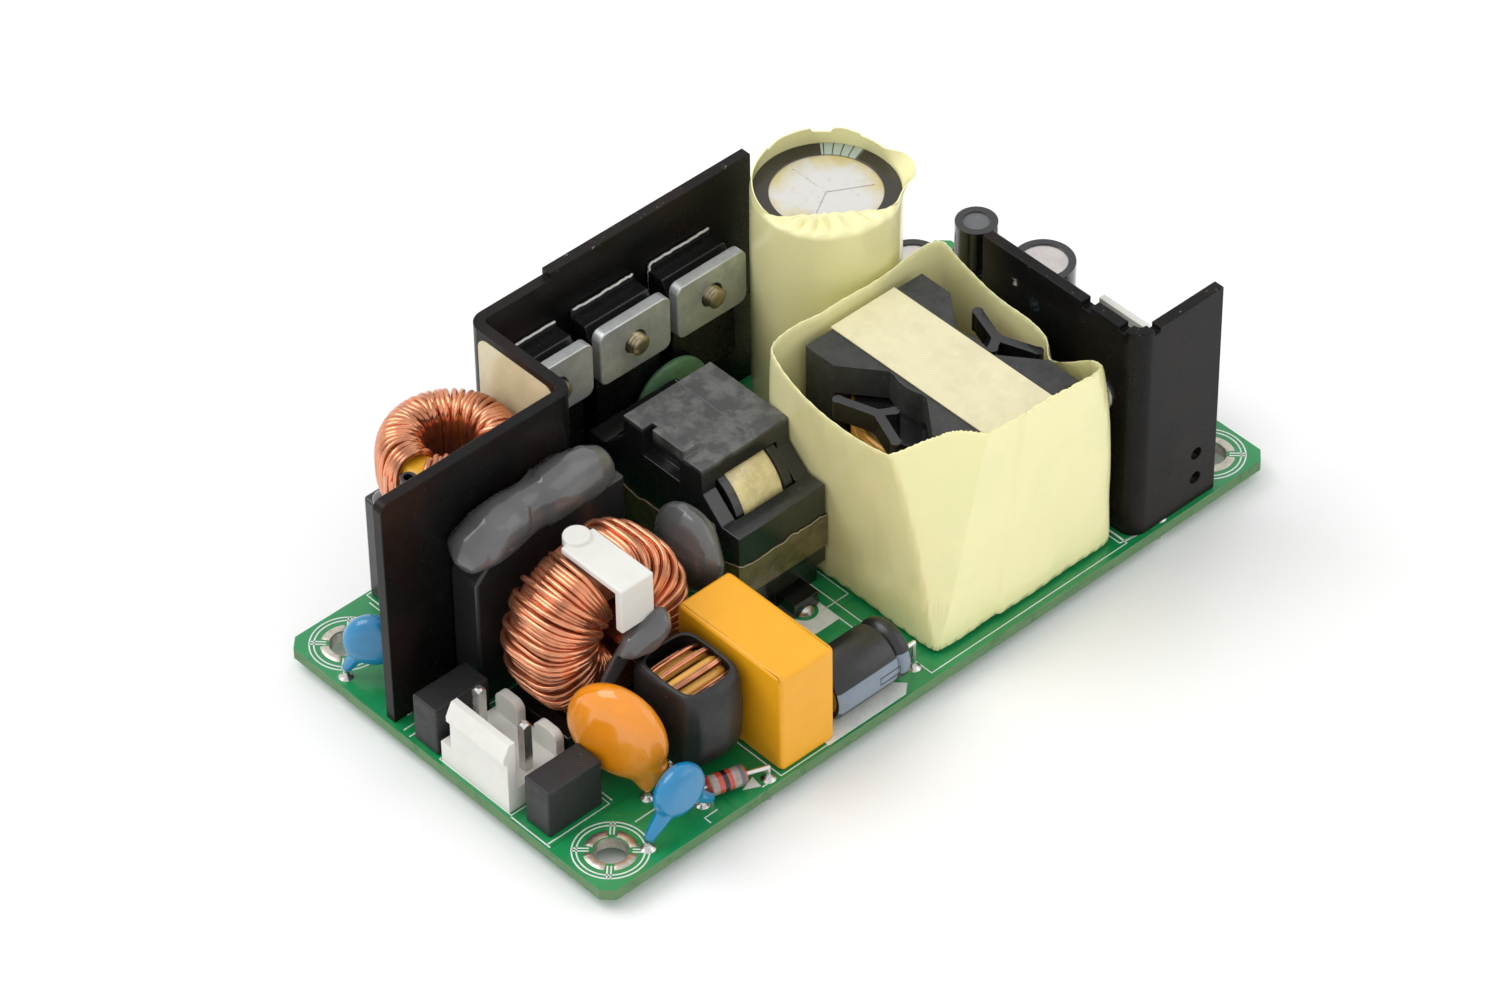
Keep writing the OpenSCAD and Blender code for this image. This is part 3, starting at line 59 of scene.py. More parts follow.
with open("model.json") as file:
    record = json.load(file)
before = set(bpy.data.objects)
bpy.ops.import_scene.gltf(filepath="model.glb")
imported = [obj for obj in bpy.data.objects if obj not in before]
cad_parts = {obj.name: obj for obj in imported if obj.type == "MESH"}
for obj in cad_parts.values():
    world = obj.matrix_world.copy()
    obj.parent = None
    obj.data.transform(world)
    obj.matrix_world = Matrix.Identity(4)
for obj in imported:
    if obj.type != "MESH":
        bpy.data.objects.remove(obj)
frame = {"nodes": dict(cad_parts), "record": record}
NODES = frame["nodes"]
SLOT_OF = {part["node"]: part["material_slot"] for part in frame["record"]["subparts"]}
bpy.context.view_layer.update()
MM = 0.001
# Without a seed of its own, noise takes the time of day
NOISE_SEED = 5
BOARD_LOW, BOARD_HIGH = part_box("circuit_board")
CORNER = Vector((BOARD_LOW.x, BOARD_LOW.y, BOARD_HIGH.z))


def place(x, y, z=0.0):
    """A point given in millimetres from the board's front left corner, in metres."""
    return CORNER + Vector((x, y, z)) * MM


def node_box(node):
    """A node's corners in millimetres from the board's front left corner."""
    low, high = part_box(node)
    return (low - CORNER) / MM, (high - CORNER) / MM


def step_between(value, low, high):
    """0 below low, 1 above high and smooth between them."""
    share = min(1.0, max(0.0, (value - low) / (high - low)))
    return share * share * (3 - 2 * share)


def boxy(value, power):
    """A sine or cosine flattened towards a rounded box."""
    return math.copysign(abs(value) ** power, value)


def circle(center, radius, steps):
    """Points on a circle, in the units of its centre."""
    return [(center.x + radius * math.cos(a), center.y + radius * math.sin(a))
            for a in (2 * math.pi * k / steps for k in range(steps))]


# Finishes

SOCKETS = {
    "metal": "Metallic", "coat": "Coat Weight", "coat_rough": "Coat Roughness",
    "clear": "Transmission Weight", "ior": "IOR", "scatter": "Subsurface Weight",
    "specular": "Specular IOR Level",
}


class Surface:
    """A material under construction, with short calls for its layers."""

    def __init__(self, name, color, rough=0.5, **fixed):
        self.mat = bpy.data.materials.new(name)
        self.mat.use_nodes = True
        self.mat.diffuse_color = (*color, 1)
        self.tree = self.mat.node_tree
        self.shader = self.tree.nodes["Principled BSDF"]
        self.where = self.add("ShaderNodeTexCoord").outputs["Object"]
        self.color = (*color, 1)
        self.rough = rough
        self.normal = None
        for key, value in fixed.items():
            self.shader.inputs[SOCKETS[key]].default_value = value
        if "scatter" in fixed:
            self.shader.inputs["Subsurface Radius"].default_value = (1, 0.9, 0.7)
            self.shader.inputs["Subsurface Scale"].default_value = 0.8 * MM

    def add(self, kind, inputs=None, **settings):
        made = self.tree.nodes.new(kind)
        for key, value in settings.items():
            setattr(made, key, value)
        for key, value in (inputs or {}).items():
            self.join(value, made.inputs[key])
        return made

    def join(self, value, socket):
        if isinstance(value, bpy.types.NodeSocket):
            self.tree.links.new(value, socket)
        else:
            socket.default_value = value

    def moved(self, center=(0, 0, 0), stretch=(1, 1, 1), turn=(0, 0, 0)):
        """Object coordinates measured from a centre, then turned and stretched."""
        shift = self.add("ShaderNodeVectorMath", {0: self.where, 1: tuple(center)}, operation="SUBTRACT")
        return self.add("ShaderNodeMapping", {
            "Vector": shift.outputs[0], "Rotation": turn, "Scale": stretch}).outputs[0]

    def noise(self, mm, detail=2.0, contrast=0.5, where=None, distortion=0.0):
        return self.add("ShaderNodeTexNoise", {
            "Vector": where or self.where, "Scale": 1 / (mm * MM), "Detail": detail,
            "Roughness": contrast, "Distortion": distortion}).outputs["Fac"]

    def axis(self, letter, where=None):
        return self.add("ShaderNodeSeparateXYZ", {"Vector": where or self.where}).outputs[letter]

    def distance(self, point):
        """Distance from a point, in metres."""
        return self.add("ShaderNodeVectorMath", {
            0: self.where, 1: tuple(point)}, operation="DISTANCE").outputs["Value"]

    def math(self, operation, a, b=0.0):
        return self.add("ShaderNodeMath", {0: a, 1: b}, operation=operation).outputs[0]

    def times(self, a, b):
        return self.math("MULTIPLY", a, b)

    def band(self, value, low, high):
        """0 below low, 1 above high and smooth between them; low may be the higher one."""
        return self.add("ShaderNodeMapRange", {
            "Value": value, "From Min": low, "From Max": high},
            interpolation_type="SMOOTHSTEP").outputs[0]

    def mix(self, factor, a, b):
        made = self.add("ShaderNodeMix", data_type="RGBA")
        self.join(factor, made.inputs[0])
        for value, socket in ((a, made.inputs[6]), (b, made.inputs[7])):
            self.join(value if isinstance(value, bpy.types.NodeSocket) else (*value[:3], 1), socket)
        return made.outputs[2]

    def paint(self, factor, color):
        self.color = self.mix(factor, self.color, color)
        return self

    def blotches(self, color, mm, low, high, share=1, detail=2.0, contrast=0.5, within=None):
        """Paints where a noise of this size rises from low to high, inside another mask if given."""
        mask = self.band(self.noise(mm, detail, contrast), low, high)
        if share != 1:
            mask = self.times(mask, share)
        if within is not None:
            mask = self.times(within, mask)
        return self.paint(mask, color)

    def gloss(self, factor, rough):
        made = self.add("ShaderNodeMix", data_type="FLOAT")
        for value, socket in zip((factor, self.rough, rough), (0, 2, 3)):
            self.join(value, made.inputs[socket])
        self.rough = made.outputs[0]
        return self

    def relief(self, height, depth):
        """Bumps of a height in millimetres, over those already there."""
        made = self.add("ShaderNodeBump", {"Height": height, "Distance": depth * MM, "Strength": 1.0})
        if self.normal:
            self.join(self.normal, made.inputs["Normal"])
        self.normal = made.outputs[0]
        return self

    def worn(self, mottle=0.12, mottle_mm=4.0, grain_mm=0.25, grain=0.01,
             dust=0.0, dust_color=(0.5, 0.5, 0.48)):
        """Uneven tone and gloss, a fine grain, and a little dust."""
        base = self.mat.diffuse_color[:3]
        cloud = self.noise(mottle_mm, 4, 0.6)
        self.paint(self.band(cloud, 0.35, 0.7), [c * (1 - mottle) for c in base])
        self.blotches([min(1, c * (1 + mottle) + 0.004) for c in base], mottle_mm * 0.31, 0.5, 0.8, 0.5, 3)
        self.gloss(self.band(cloud, 0.4, 0.75), min(1, self.rough * 1.25))
        if dust:
            self.blotches(dust_color, 0.35, 0.76, 0.82, dust, 1)
        return self.relief(self.noise(grain_mm, 3), grain)

    def done(self):
        self.join(self.color, self.shader.inputs["Base Color"])
        self.join(self.rough, self.shader.inputs["Roughness"])
        if self.normal:
            self.join(self.normal, self.shader.inputs["Normal"])
        return self.mat


def solder_mask(look):
    """Green mask over a faint plan of tracks and the board's weave."""
    s = Surface("solder_mask", look.mask_color, 0.3, coat=0.35, coat_rough=0.12)
    light = [min(1, c * 1.25 + 0.01) for c in look.mask_color]
    dark = [c * 0.72 for c in look.mask_color]
    plan = s.add("ShaderNodeTexBrick", {
        "Vector": s.where, "Scale": 1.0, "Mortar Size": 0.22 * MM, "Mortar Smooth": 0.2,
        "Brick Width": 11.3 * MM, "Row Height": 6.1 * MM}, offset=0.37)
    s.paint(s.times(plan.outputs["Fac"], 0.7), dark)
    tracks = s.add("ShaderNodeTexVoronoi", {
        "Vector": s.where, "Scale": 1 / (7 * MM)}, distance="MANHATTAN", feature="F1").outputs["Distance"]
    s.paint(s.times(s.band(tracks, 0.52, 0.5), 0.35), light)
    s.relief(tracks, 0.02)
    weave = s.add("ShaderNodeTexWave", {
        "Vector": s.where, "Scale": 1 / (3.2 * MM)}, bands_direction="X")
    s.relief(weave.outputs["Fac"], 0.003)
    return s.worn(0.1, 9, 0.3, 0.004, 0.4).done()


def board_edge():
    """Cut edge of the board, with its glass layers."""
    s = Surface("board_edge", (0.075, 0.2, 0.075), 0.55)
    layers = s.noise(0.5, 3, 0.6, s.moved(stretch=(0.12, 0.12, 2.5)))
    s.paint(s.band(layers, 0.4, 0.65), (0.13, 0.23, 0.1))
    s.blotches((0.05, 0.15, 0.05), 2.2, 0.5, 0.72, 1, 4, 0.7)
    return s.relief(layers, 0.03).done()


def anodised(name, node, smears=()):
    """Black finish with small bare chips along the top edge and smears of old grease."""
    s = Surface(name, (0.0058, 0.0056, 0.0055), 0.27, specular=0.15)
    top = node_box(node)[1].z
    s.worn(0.3, 6, 0.12, 0.004, 0.25, (0.16, 0.15, 0.14))
    # Broad brownish patches: a painted reflection of the copper parts nearby
    s.blotches((0.017, 0.0105, 0.0085), 14, 0.42, 0.66, 0.7, 3)
    for center, radius, color in smears:
        ragged = s.times(s.noise(radius * 0.7, 4, 0.7), radius * MM * 1.4)
        torn = s.math("ADD", s.distance(center), ragged)
        smear = s.band(torn, radius * MM * 1.25, radius * MM * 0.95)
        s.blotches(color, 0.5, 0.42, 0.6, 1, 3, 0.6, smear)
    edge = s.band(s.axis("Z"), (top - 0.4) * MM + CORNER.z, (top - 0.1) * MM + CORNER.z)
    return s.blotches((0.3, 0.29, 0.28), 0.7, 0.64, 0.7, 0.6, 3, 0.7, edge).done()


def film(name, look, tint=1.0):
    """Thin polyester film, faintly creased and not quite even in tone."""
    base = [c * tint for c in look.film_color]
    s = Surface(name, base, 0.26, coat=0.6, coat_rough=0.11, clear=0.06, ior=1.45)
    s.blotches((base[0] * 0.88, base[1] * 0.95, base[2] * 0.92), 8, 0.45, 0.7, 0.45, 3)
    s.blotches((0.92, 0.88, 0.6), 3.1, 0.62, 0.8, 0.3, 4, 0.6)
    creases = s.noise(3.4, 3, 0.45, s.moved(stretch=(1, 1, 0.35)), 0.8)
    return s.relief(creases, 0.1).relief(s.noise(0.6, 2), 0.006).done()


def copper_wire(look):
    """Enamelled copper wire."""
    s = Surface("copper_wire", look.copper_color, 0.2, metal=0.85, coat=0.4, coat_rough=0.08)
    s.blotches([c * 0.58 for c in look.copper_color], 3.5, 0.42, 0.7)
    return s.relief(s.noise(0.9, 1), 0.006).done()


def grey_sealant():
    """Grey rubber with the swirls of the nozzle."""
    s = Surface("grey_sealant", (0.085, 0.086, 0.088), 0.22, coat=0.5, coat_rough=0.1)
    swirl = s.add("ShaderNodeTexWave", {
        "Vector": s.moved(turn=(0.4, 0.3, 0.9)), "Scale": 1 / (26 * MM), "Distortion": 7.0,
        "Detail": 2.0, "Detail Scale": 1.4}, bands_direction="Z", wave_profile="SIN").outputs["Fac"]
    s.paint(s.times(s.band(swirl, 0.3, 0.9), 0.35), (0.14, 0.14, 0.14))
    s.blotches((0.08, 0.08, 0.082), 2.5, 0.5, 0.75, 0.4, 4, 0.6)
    s.blotches((0.3, 0.3, 0.3), 0.3, 0.78, 0.82, 0.3, 1)
    return s.relief(s.noise(1.2, 3, 0.5), 0.03).done()


def choke_case():
    """Black casing whose top is dulled by varnish."""
    s = Surface("choke_case", (0.013, 0.014, 0.013), 0.2, coat=0.3, coat_rough=0.12)
    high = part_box("boost_choke_shroud")[1]
    top = s.band(s.axis("Z"), high.z - 2 * MM, high.z - 0.5 * MM)
    s.paint(s.times(top, 0.85), (0.05, 0.053, 0.05))
    s.blotches((0.15, 0.152, 0.145), 3.4, 0.42, 0.62, 0.8, 5, 0.66, top)
    s.blotches((0.025, 0.025, 0.024), 1.1, 0.6, 0.72, 0.6, 3, 0.6, top)
    s.blotches((0.16, 0.16, 0.15), 0.4, 0.72, 0.8, 0.35, 1)
    s.gloss(s.times(top, 0.9), 0.42)
    return s.relief(s.noise(1.5, 4, 0.6), 0.05).relief(s.noise(0.3, 2), 0.006).done()


def capacitor_can():
    """Brushed aluminium with a yellow stain towards the rim."""
    s = Surface("capacitor_can", (0.72, 0.71, 0.68), 0.34, metal=0.55)
    low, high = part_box("bulk_capacitor")
    center = (low + high) / 2
    out = s.times(s.distance((center.x, center.y, high.z)), 70.0)
    stain = s.math("ADD", out, s.noise(4, 4, 0.6))
    s.paint(s.times(s.band(stain, 0.72, 1.12), 0.85), (0.66, 0.54, 0.2))
    s.blotches((0.5, 0.46, 0.36), 1.2, 0.55, 0.72, 0.4, 4, 0.7)
    brushed = s.noise(0.35, 3, 0.5, s.moved(stretch=(1, 0.08, 1), turn=(0, 0, 0.6)))
    return s.relief(brushed, 0.02).done()


def bulk_sleeve():
    """Dark sleeve with one broken pale stripe, which shows on the shoulder."""
    stripe_at, half_width, blocks = 0.59, 0.32, 7.0
    s = Surface("bulk_sleeve", (0.02, 0.016, 0.009), 0.3, coat=0.2, coat_rough=0.15)
    low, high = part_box("bulk_capacitor")
    around = s.moved(center=(low + high) / 2)
    turn = s.math("ARCTAN2", s.axis("Y", around), s.axis("X", around))
    off = s.math("ABSOLUTE", s.math("SUBTRACT", turn, stripe_at))
    split = s.math("FRACT", s.times(s.math("ADD", turn, 4.0), blocks))
    whole = s.times(s.band(split, 0.06, 0.09), s.band(split, 0.97, 0.94))
    s.paint(s.times(s.band(off, half_width, half_width * 0.97), whole), (0.34, 0.4, 0.34))
    return s.relief(s.noise(2.4, 2), 0.05).relief(s.noise(0.3, 2), 0.006).done()


# Plain finishes by name: colour, roughness, what worn() is given in its order, other sockets
PLAIN = {
    "silk_ink": ((0.78, 0.82, 0.78), 0.55, (0.12, 1.5, 0.25, 0.006), {}),
    "tinned_copper": ((0.62, 0.58, 0.5), 0.3, (0.3, 1.2, 0.5, 0.03), {"metal": 0.9}),
    "solder": ((0.66, 0.65, 0.62), 0.25, (0.25, 0.8, 0.25, 0.02), {"metal": 0.95}),
    "pin_tin": ((0.74, 0.73, 0.7), 0.24, (0.15, 1.5, 0.25, 0.006), {"metal": 0.95}),
    "chip_epoxy": ((0.018, 0.018, 0.019), 0.5, (0.2, 2, 0.15, 0.02, 0.35), {}),
    "cream_tape": ((0.72, 0.66, 0.42), 0.22, (0.1, 5, 0.8, 0.012), {"coat": 0.4, "coat_rough": 0.1}),
    "transistor_epoxy": ((0.008, 0.008, 0.0085), 0.26, (0.2, 2, 0.15, 0.015, 0.3), {}),
    "insulator_pad": ((0.02, 0.02, 0.021), 0.4, (0.2, 4, 0.25, 0.02), {}),
    "thermal_grease": ((0.72, 0.72, 0.68), 0.4, (0.2, 0.8, 0.25, 0.03), {}),
    "clamp_steel": ((0.56, 0.58, 0.565), 0.36, (0.2, 2.5, 0.2, 0.02, 0.2), {"metal": 0.65}),
    "brass_screw": ((0.42, 0.36, 0.24), 0.32, (0.3, 0.7, 0.25, 0.02), {"metal": 0.9}),
    "zinc_screw": ((0.66, 0.66, 0.65), 0.26, (0.2, 1.2), {"metal": 0.95}),
    "small_can": ((0.66, 0.62, 0.6), 0.3, (0.12, 2, 0.4, 0.02), {"metal": 0.8}),
    "black_sleeve": ((0.012, 0.012, 0.013), 0.3, (0.25, 3, 0.6, 0.012, 0.15),
                     {"coat": 0.2, "coat_rough": 0.2}),
    "glossy_sleeve": ((0.006, 0.006, 0.007), 0.16, (0.2, 4, 1.5, 0.02), {"coat": 0.5, "coat_rough": 0.06}),
    "shrunk_rubber": ((0.013, 0.0135, 0.014), 0.4, (0.3, 2.5, 0.5, 0.02, 0.3, (0.14, 0.14, 0.14)), {}),
    "ferrite": ((0.03, 0.031, 0.03), 0.46, (0.4, 2, 0.3, 0.04, 0.25), {}),
    "bobbin_plastic": ((0.008, 0.008, 0.008), 0.18, (0.3, 3, 0.8, 0.02, 0.1),
                       {"coat": 0.4, "coat_rough": 0.08}),
    "coil_tape": ((0.8, 0.68, 0.34), 0.12, (0.25, 2.2, 1.2, 0.06), {"coat": 0.6, "coat_rough": 0.06}),
    "amber_tape": ((0.15, 0.115, 0.05), 0.2, (0.5, 3, 1.5, 0.05), {"coat": 0.5, "coat_rough": 0.1}),
    "tape_edge": ((0.5, 0.45, 0.33), 0.5, (0.4, 1.2, 0.25, 0.02), {}),
    # Dark copper for the filter choke's core: painted shade of the windings seen between the turns
    "painted_shade_copper": ((0.3, 0.1, 0.045), 0.5, (0.3, 1), {"metal": 0.5}),
    "amber_wire": ((0.82, 0.42, 0.07), 0.26, (0.15, 1.2, 0.25, 0.006), {"coat": 0.4, "coat_rough": 0.1}),
    "white_nylon": ((0.73, 0.725, 0.68), 0.36, (0.05, 5, 0.4, 0.01), {"scatter": 0.12}),
    "grey_box": ((0.016, 0.016, 0.017), 0.3, (0.2, 5, 0.2, 0.008, 0.3), {"coat": 0.15}),
    "orange_box": ((0.88, 0.4, 0.008), 0.36, (0.05, 6, 0.25, 0.008), {}),
    "orange_lacquer": ((0.82, 0.27, 0.006), 0.16, (0.06, 4, 2.0, 0.04), {"coat": 0.7, "coat_rough": 0.06}),
    "blue_lacquer": ((0.003, 0.21, 0.44), 0.2, (0.08, 3, 1.5, 0.04), {"coat": 0.6, "coat_rough": 0.08}),
    "red_glass": ((0.5, 0.05, 0.025), 0.12, (0.2, 1), {"coat": 0.8, "coat_rough": 0.04}),
    "clear_glass": ((0.35, 0.28, 0.25), 0.1, (0.3, 0.8), {"coat": 0.8, "coat_rough": 0.04}),
    "thermistor_lacquer": ((0.12, 0.26, 0.135), 0.42, (0.15, 2, 0.3, 0.02), {}),
    "core_yellow": ((0.82, 0.42, 0.015), 0.35, (0.1, 3), {}),
    "sleeve_stripe": ((0.2, 0.25, 0.31), 0.35, (0.1, 3, 0.25, 0.006), {"coat": 0.2}),
    "drum_grey": ((0.13, 0.14, 0.15), 0.4, (0.15, 1.5, 0.25, 0.02), {}),
}


def all_finishes(look):
    """Every finish by its name, which is the slot's where it belongs to one."""
    angle_x = node_box("secondary_heatsink")[0].x
    smears = ((place(angle_x, 21.3, 28.1), 1.2, (0.4, 0.4, 0.38)),
              (place(angle_x, 18.1, 26.7), 2.2, (0.03, 0.045, 0.05)))
    made = {
        "solder_mask": solder_mask(look),
        "board_edge": board_edge(),
        "black_anodised": anodised("black_anodised", "primary_heatsink"),
        "black_anodised_angle": anodised("black_anodised_angle", "secondary_heatsink", smears),
        "capacitor_can": capacitor_can(),
        "bulk_sleeve": bulk_sleeve(),
        "yellow_film": film("yellow_film", look),
        "bulk_film": film("bulk_film", look, 0.96),
        "choke_case": choke_case(),
        "copper_wire": copper_wire(look),
        "grey_sealant": grey_sealant(),
    }
    for name, (color, rough, wear, fixed) in PLAIN.items():
        made[name] = Surface(name, color, rough, **fixed).worn(*wear).done()
    return made


FINISH = {}


# Making meshes and pieces

def merged(node):
    """A node's mesh with its loose triangles joined."""
    bm = bmesh.new()
    bm.from_mesh(NODES[node].data)
    bmesh.ops.remove_doubles(bm, verts=bm.verts, dist=2e-6)
    return bm


def to_mesh(bm, name, smooth_angle=35):
    """A mesh shaded smooth but for edges sharper than the angle."""
    bm.normal_update()
    for face in bm.faces:
        face.smooth = True
    limit = math.radians(smooth_angle)
    for edge in bm.edges:
        edge.smooth = len(edge.link_faces) == 2 and edge.calc_face_angle(0) < limit
    mesh = bpy.data.meshes.new(name)
    bm.to_mesh(mesh)
    bm.free()
    return mesh


def into_scene(name, mesh):
    obj = bpy.data.objects.new(name, mesh)
    bpy.context.scene.collection.objects.link(obj)
    return obj


def stand(name, mesh, slot, nodes=(), finish=None):
    """Puts a finished mesh into the scene as a piece of the object."""
    obj = into_scene(name, mesh)
    if not [m for m in mesh.materials if m]:
        mesh.materials.clear()
        mesh.materials.append(FINISH[finish or slot])
    if nodes:
        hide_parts(*nodes)
    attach(obj, "root")
    return obj


def stand_smooth(name, mesh, node, finish=None):
    """Puts a mesh without any sharp edge in its node's place."""
    for face in mesh.polygons:
        face.use_smooth = True
    return stand(name, mesh, SLOT_OF[node], (node,), finish)


def polished(node, width=0.2, segments=2, finish=None):
    """The node's own shape with its sharp edges eased."""
    sharp = 40
    bm = merged(node)
    bmesh.ops.dissolve_limit(bm, angle_limit=math.radians(0.6), verts=bm.verts, edges=bm.edges)
    name = node + "_finished"
    obj = stand(name, to_mesh(bm, name, sharp), SLOT_OF[node], (node,), finish)
    if width:
        bevel = obj.modifiers.new("eased_edges", "BEVEL")
        bevel.width = width * MM
        bevel.segments = segments
        bevel.limit_method = "ANGLE"
        bevel.angle_limit = math.radians(sharp)
        bevel.harden_normals = True
    weighted = obj.modifiers.new("flat_faces", "WEIGHTED_NORMAL")
    weighted.keep_sharp = True
    return obj


def plain_mesh(obj):
    """The plain mesh that an object's modifiers end in; the object is removed."""
    evaluated = obj.evaluated_get(bpy.context.evaluated_depsgraph_get())
    mesh = bpy.data.meshes.new_from_object(evaluated)
    bpy.data.objects.remove(obj)
    return mesh


def baked(bm, smooth_angle, *modifiers):
    """The plain mesh that (kind, settings) modifiers make of a bmesh."""
    source = into_scene("source", to_mesh(bm, "source", smooth_angle))
    for kind, settings in modifiers:
        made = source.modifiers.new(kind.lower(), kind)
        for key, value in settings.items():
            setattr(made, key, value)
    return plain_mesh(source)


def rounded(node):
    """A copy of the node's shape with every edge rounded off."""
    return baked(merged(node), 60, ("SUBSURF", {"levels": 2, "render_levels": 2}))


def upright_to(direction):
    """The turn that brings the Z axis to a direction."""
    return Vector((0, 0, 1)).rotation_difference(direction.normalized()).to_matrix().to_4x4()


def dipped(node, voxel, rounds, necks=()):
    """The node's shape and its necks, run together into one soft skin as dipped stuff has."""
    bm = merged(node)
    for start, r1, end, r2 in necks:
        cone = bmesh.ops.create_cone(bm, cap_ends=True, segments=20, radius1=r1 * MM, radius2=r2 * MM,
                                     depth=(end - start).length)["verts"]
        where = Matrix.Translation((start + end) / 2) @ upright_to(end - start)
        bmesh.ops.transform(bm, matrix=where, verts=cone)
    return baked(bm, 35, ("REMESH", {"mode": "VOXEL", "voxel_size": voxel * MM, "use_smooth_shade": True}),
                 ("SMOOTH", {"factor": 0.5, "iterations": rounds}))


def ripple(mesh, size, depth, stretch=(1, 1, 1), seed=0.0):
    """Moves points by smooth noise, both walls of a thin sheet together."""
    noise.seed_set(NOISE_SEED)
    for v in mesh.vertices:
        at = Vector([c * s for c, s in zip(v.co, stretch)]) / (size * MM)
        v.co += Vector(noise.noise_vector(at + Vector((seed, 0, 0)))) * depth * MM


def spun(profile, center=Vector(), axis="Z", steps=48):
    """A closed solid turned about an axis from (radius, distance) pairs in millimetres."""
    bm = bmesh.new()
    rings = []
    for radius, along in profile:
        if radius < 1e-6:
            rings.append([bm.verts.new((0, 0, along * MM))])
        else:
            rings.append([bm.verts.new((radius * MM * math.cos(a), radius * MM * math.sin(a), along * MM))
                          for a in (2 * math.pi * k / steps for k in range(steps))])
    for low, high in zip(rings, rings[1:]):
        for k in range(steps):
            n = (k + 1) % steps
            corners = [low[k % len(low)], low[n % len(low)], high[n % len(high)], high[k % len(high)]]
            unique = list(dict.fromkeys(corners))
            if len(unique) > 2:
                bm.faces.new(unique)
    turn = {"Z": Matrix(), "X": Matrix.Rotation(math.pi / 2, 4, "Y"),
            "Y": Matrix.Rotation(-math.pi / 2, 4, "X")}[axis]
    bm.transform(Matrix.Translation(center) @ turn)
    bmesh.ops.recalc_face_normals(bm, faces=bm.faces)
    return bm


# Geometry node trees

THROUGH = {"MeshToCurve": ("Mesh", "Curve"), "SetCurveNormal": ("Curve", "Curve"),
           "CurveToMesh": ("Curve", "Mesh"), "MeshToPoints": ("Mesh", "Points"),
           "InstanceOnPoints": ("Points", "Instances")}


def new_tree(name, sockets, kinds):
    """Nodes of these kinds one after another, then the finish; the inputs are labels and types."""
    tree = bpy.data.node_groups.new(name, "GeometryNodeTree")
    for side in ("INPUT", "OUTPUT"):
        tree.interface.new_socket("Geometry", in_out=side, socket_type="NodeSocketGeometry")
    ids = {}
    for label, kind in {**sockets, "Finish": "Material"}.items():
        made = tree.interface.new_socket(label, in_out="INPUT", socket_type="NodeSocket" + kind)
        ids[label] = made.identifier
    first = tree.nodes.new("NodeGroupInput")
    last = tree.nodes.new("NodeGroupOutput")
    made, out = {}, first.outputs["Geometry"]
    for kind in (*kinds, "RealizeInstances", "SetMaterial"):
        step = made[kind] = tree.nodes.new("GeometryNode" + kind)
        entry, leave = THROUGH.get(kind, ("Geometry", "Geometry"))
        tree.links.new(out, step.inputs[entry])
        out = step.outputs[leave]
    tree.links.new(out, last.inputs["Geometry"])
    tree.links.new(first.outputs["Finish"], made["SetMaterial"].inputs["Material"])
    return tree, ids, first, made


def sweep(name, sockets, kinds, profile):
    """A profile swept along the edges of a mesh; the inputs size the profile."""
    tree, ids, first, made = new_tree(name, sockets, kinds)
    shape = tree.nodes.new("GeometryNodeCurvePrimitive" + profile)
    for label in sockets:
        tree.links.new(first.outputs[label], shape.inputs[label])
    tree.links.new(shape.outputs["Curve"], made["CurveToMesh"].inputs["Profile Curve"])
    made["CurveToMesh"].inputs["Fill Caps"].default_value = True
    return tree, ids, made


def wire_tree():
    return sweep("wire_along_path", {"Radius": "Float", "Resolution": "Int"},
                 ("MeshToCurve", "CurveToMesh", "SetShadeSmooth"), "Circle")[:2]


def ribbon_tree():
    tree, ids, made = sweep("ribbon_along_path", {"Width": "Float", "Height": "Float"},
                            ("MeshToCurve", "SetCurveNormal", "CurveToMesh"), "Quadrilateral")
    made["SetCurveNormal"].mode = "Z_UP"
    return tree, ids


def scatter_tree():
    """One part on every point, turned by the point's attribute."""
    tree, ids, first, made = new_tree("part_on_points", {"Part": "Object"},
                                      ("MeshToPoints", "InstanceOnPoints"))
    info = tree.nodes.new("GeometryNodeObjectInfo")
    tree.links.new(first.outputs["Part"], info.inputs["Object"])
    turn = tree.nodes.new("GeometryNodeInputNamedAttribute")
    turn.data_type = "FLOAT_VECTOR"
    turn.inputs["Name"].default_value = "turn"
    tree.links.new(info.outputs["Geometry"], made["InstanceOnPoints"].inputs["Instance"])
    tree.links.new(turn.outputs["Attribute"], made["InstanceOnPoints"].inputs["Rotation"])
    return tree, ids


def grown(name, source, make_tree, finish, values, slot, nodes=()):
    """Runs a geometry tree over a source mesh and keeps the plain result."""
    obj = into_scene(name + "_source", source)
    tree, ids = make_tree()
    modifier = obj.modifiers.new("tree", "NODES")
    modifier.node_group = tree
    for label, value in {**values, "Finish": FINISH[finish]}.items():
        modifier[ids[label]] = value
    obj.update_tag()
    mesh = plain_mesh(obj)
    mesh.name = name
    return stand(name, mesh, slot, nodes)


def path_mesh(paths, closed):
    """Edges through each list of points, which are in metres."""
    points, edges = [], []
    for path in paths:
        first = len(points)
        points += [tuple(p) for p in path]
        edges += [(k, k + 1) for k in range(first, len(points) - 1)]
        if closed:
            edges.append((len(points) - 1, first))
    mesh = bpy.data.meshes.new("path")
    mesh.from_pydata(points, edges, [])
    return mesh


def wires(name, paths, diameter, finish, slot, nodes=(), sides=8, closed=False):
    return grown(name, path_mesh(paths, closed), wire_tree, finish,
                 {"Radius": diameter / 2 * MM, "Resolution": sides}, slot, nodes)


def ribbons(name, paths, width, height, finish, slot, closed=False):
    return grown(name, path_mesh(paths, closed), ribbon_tree, finish,
                 {"Width": width * MM, "Height": height * MM}, slot)


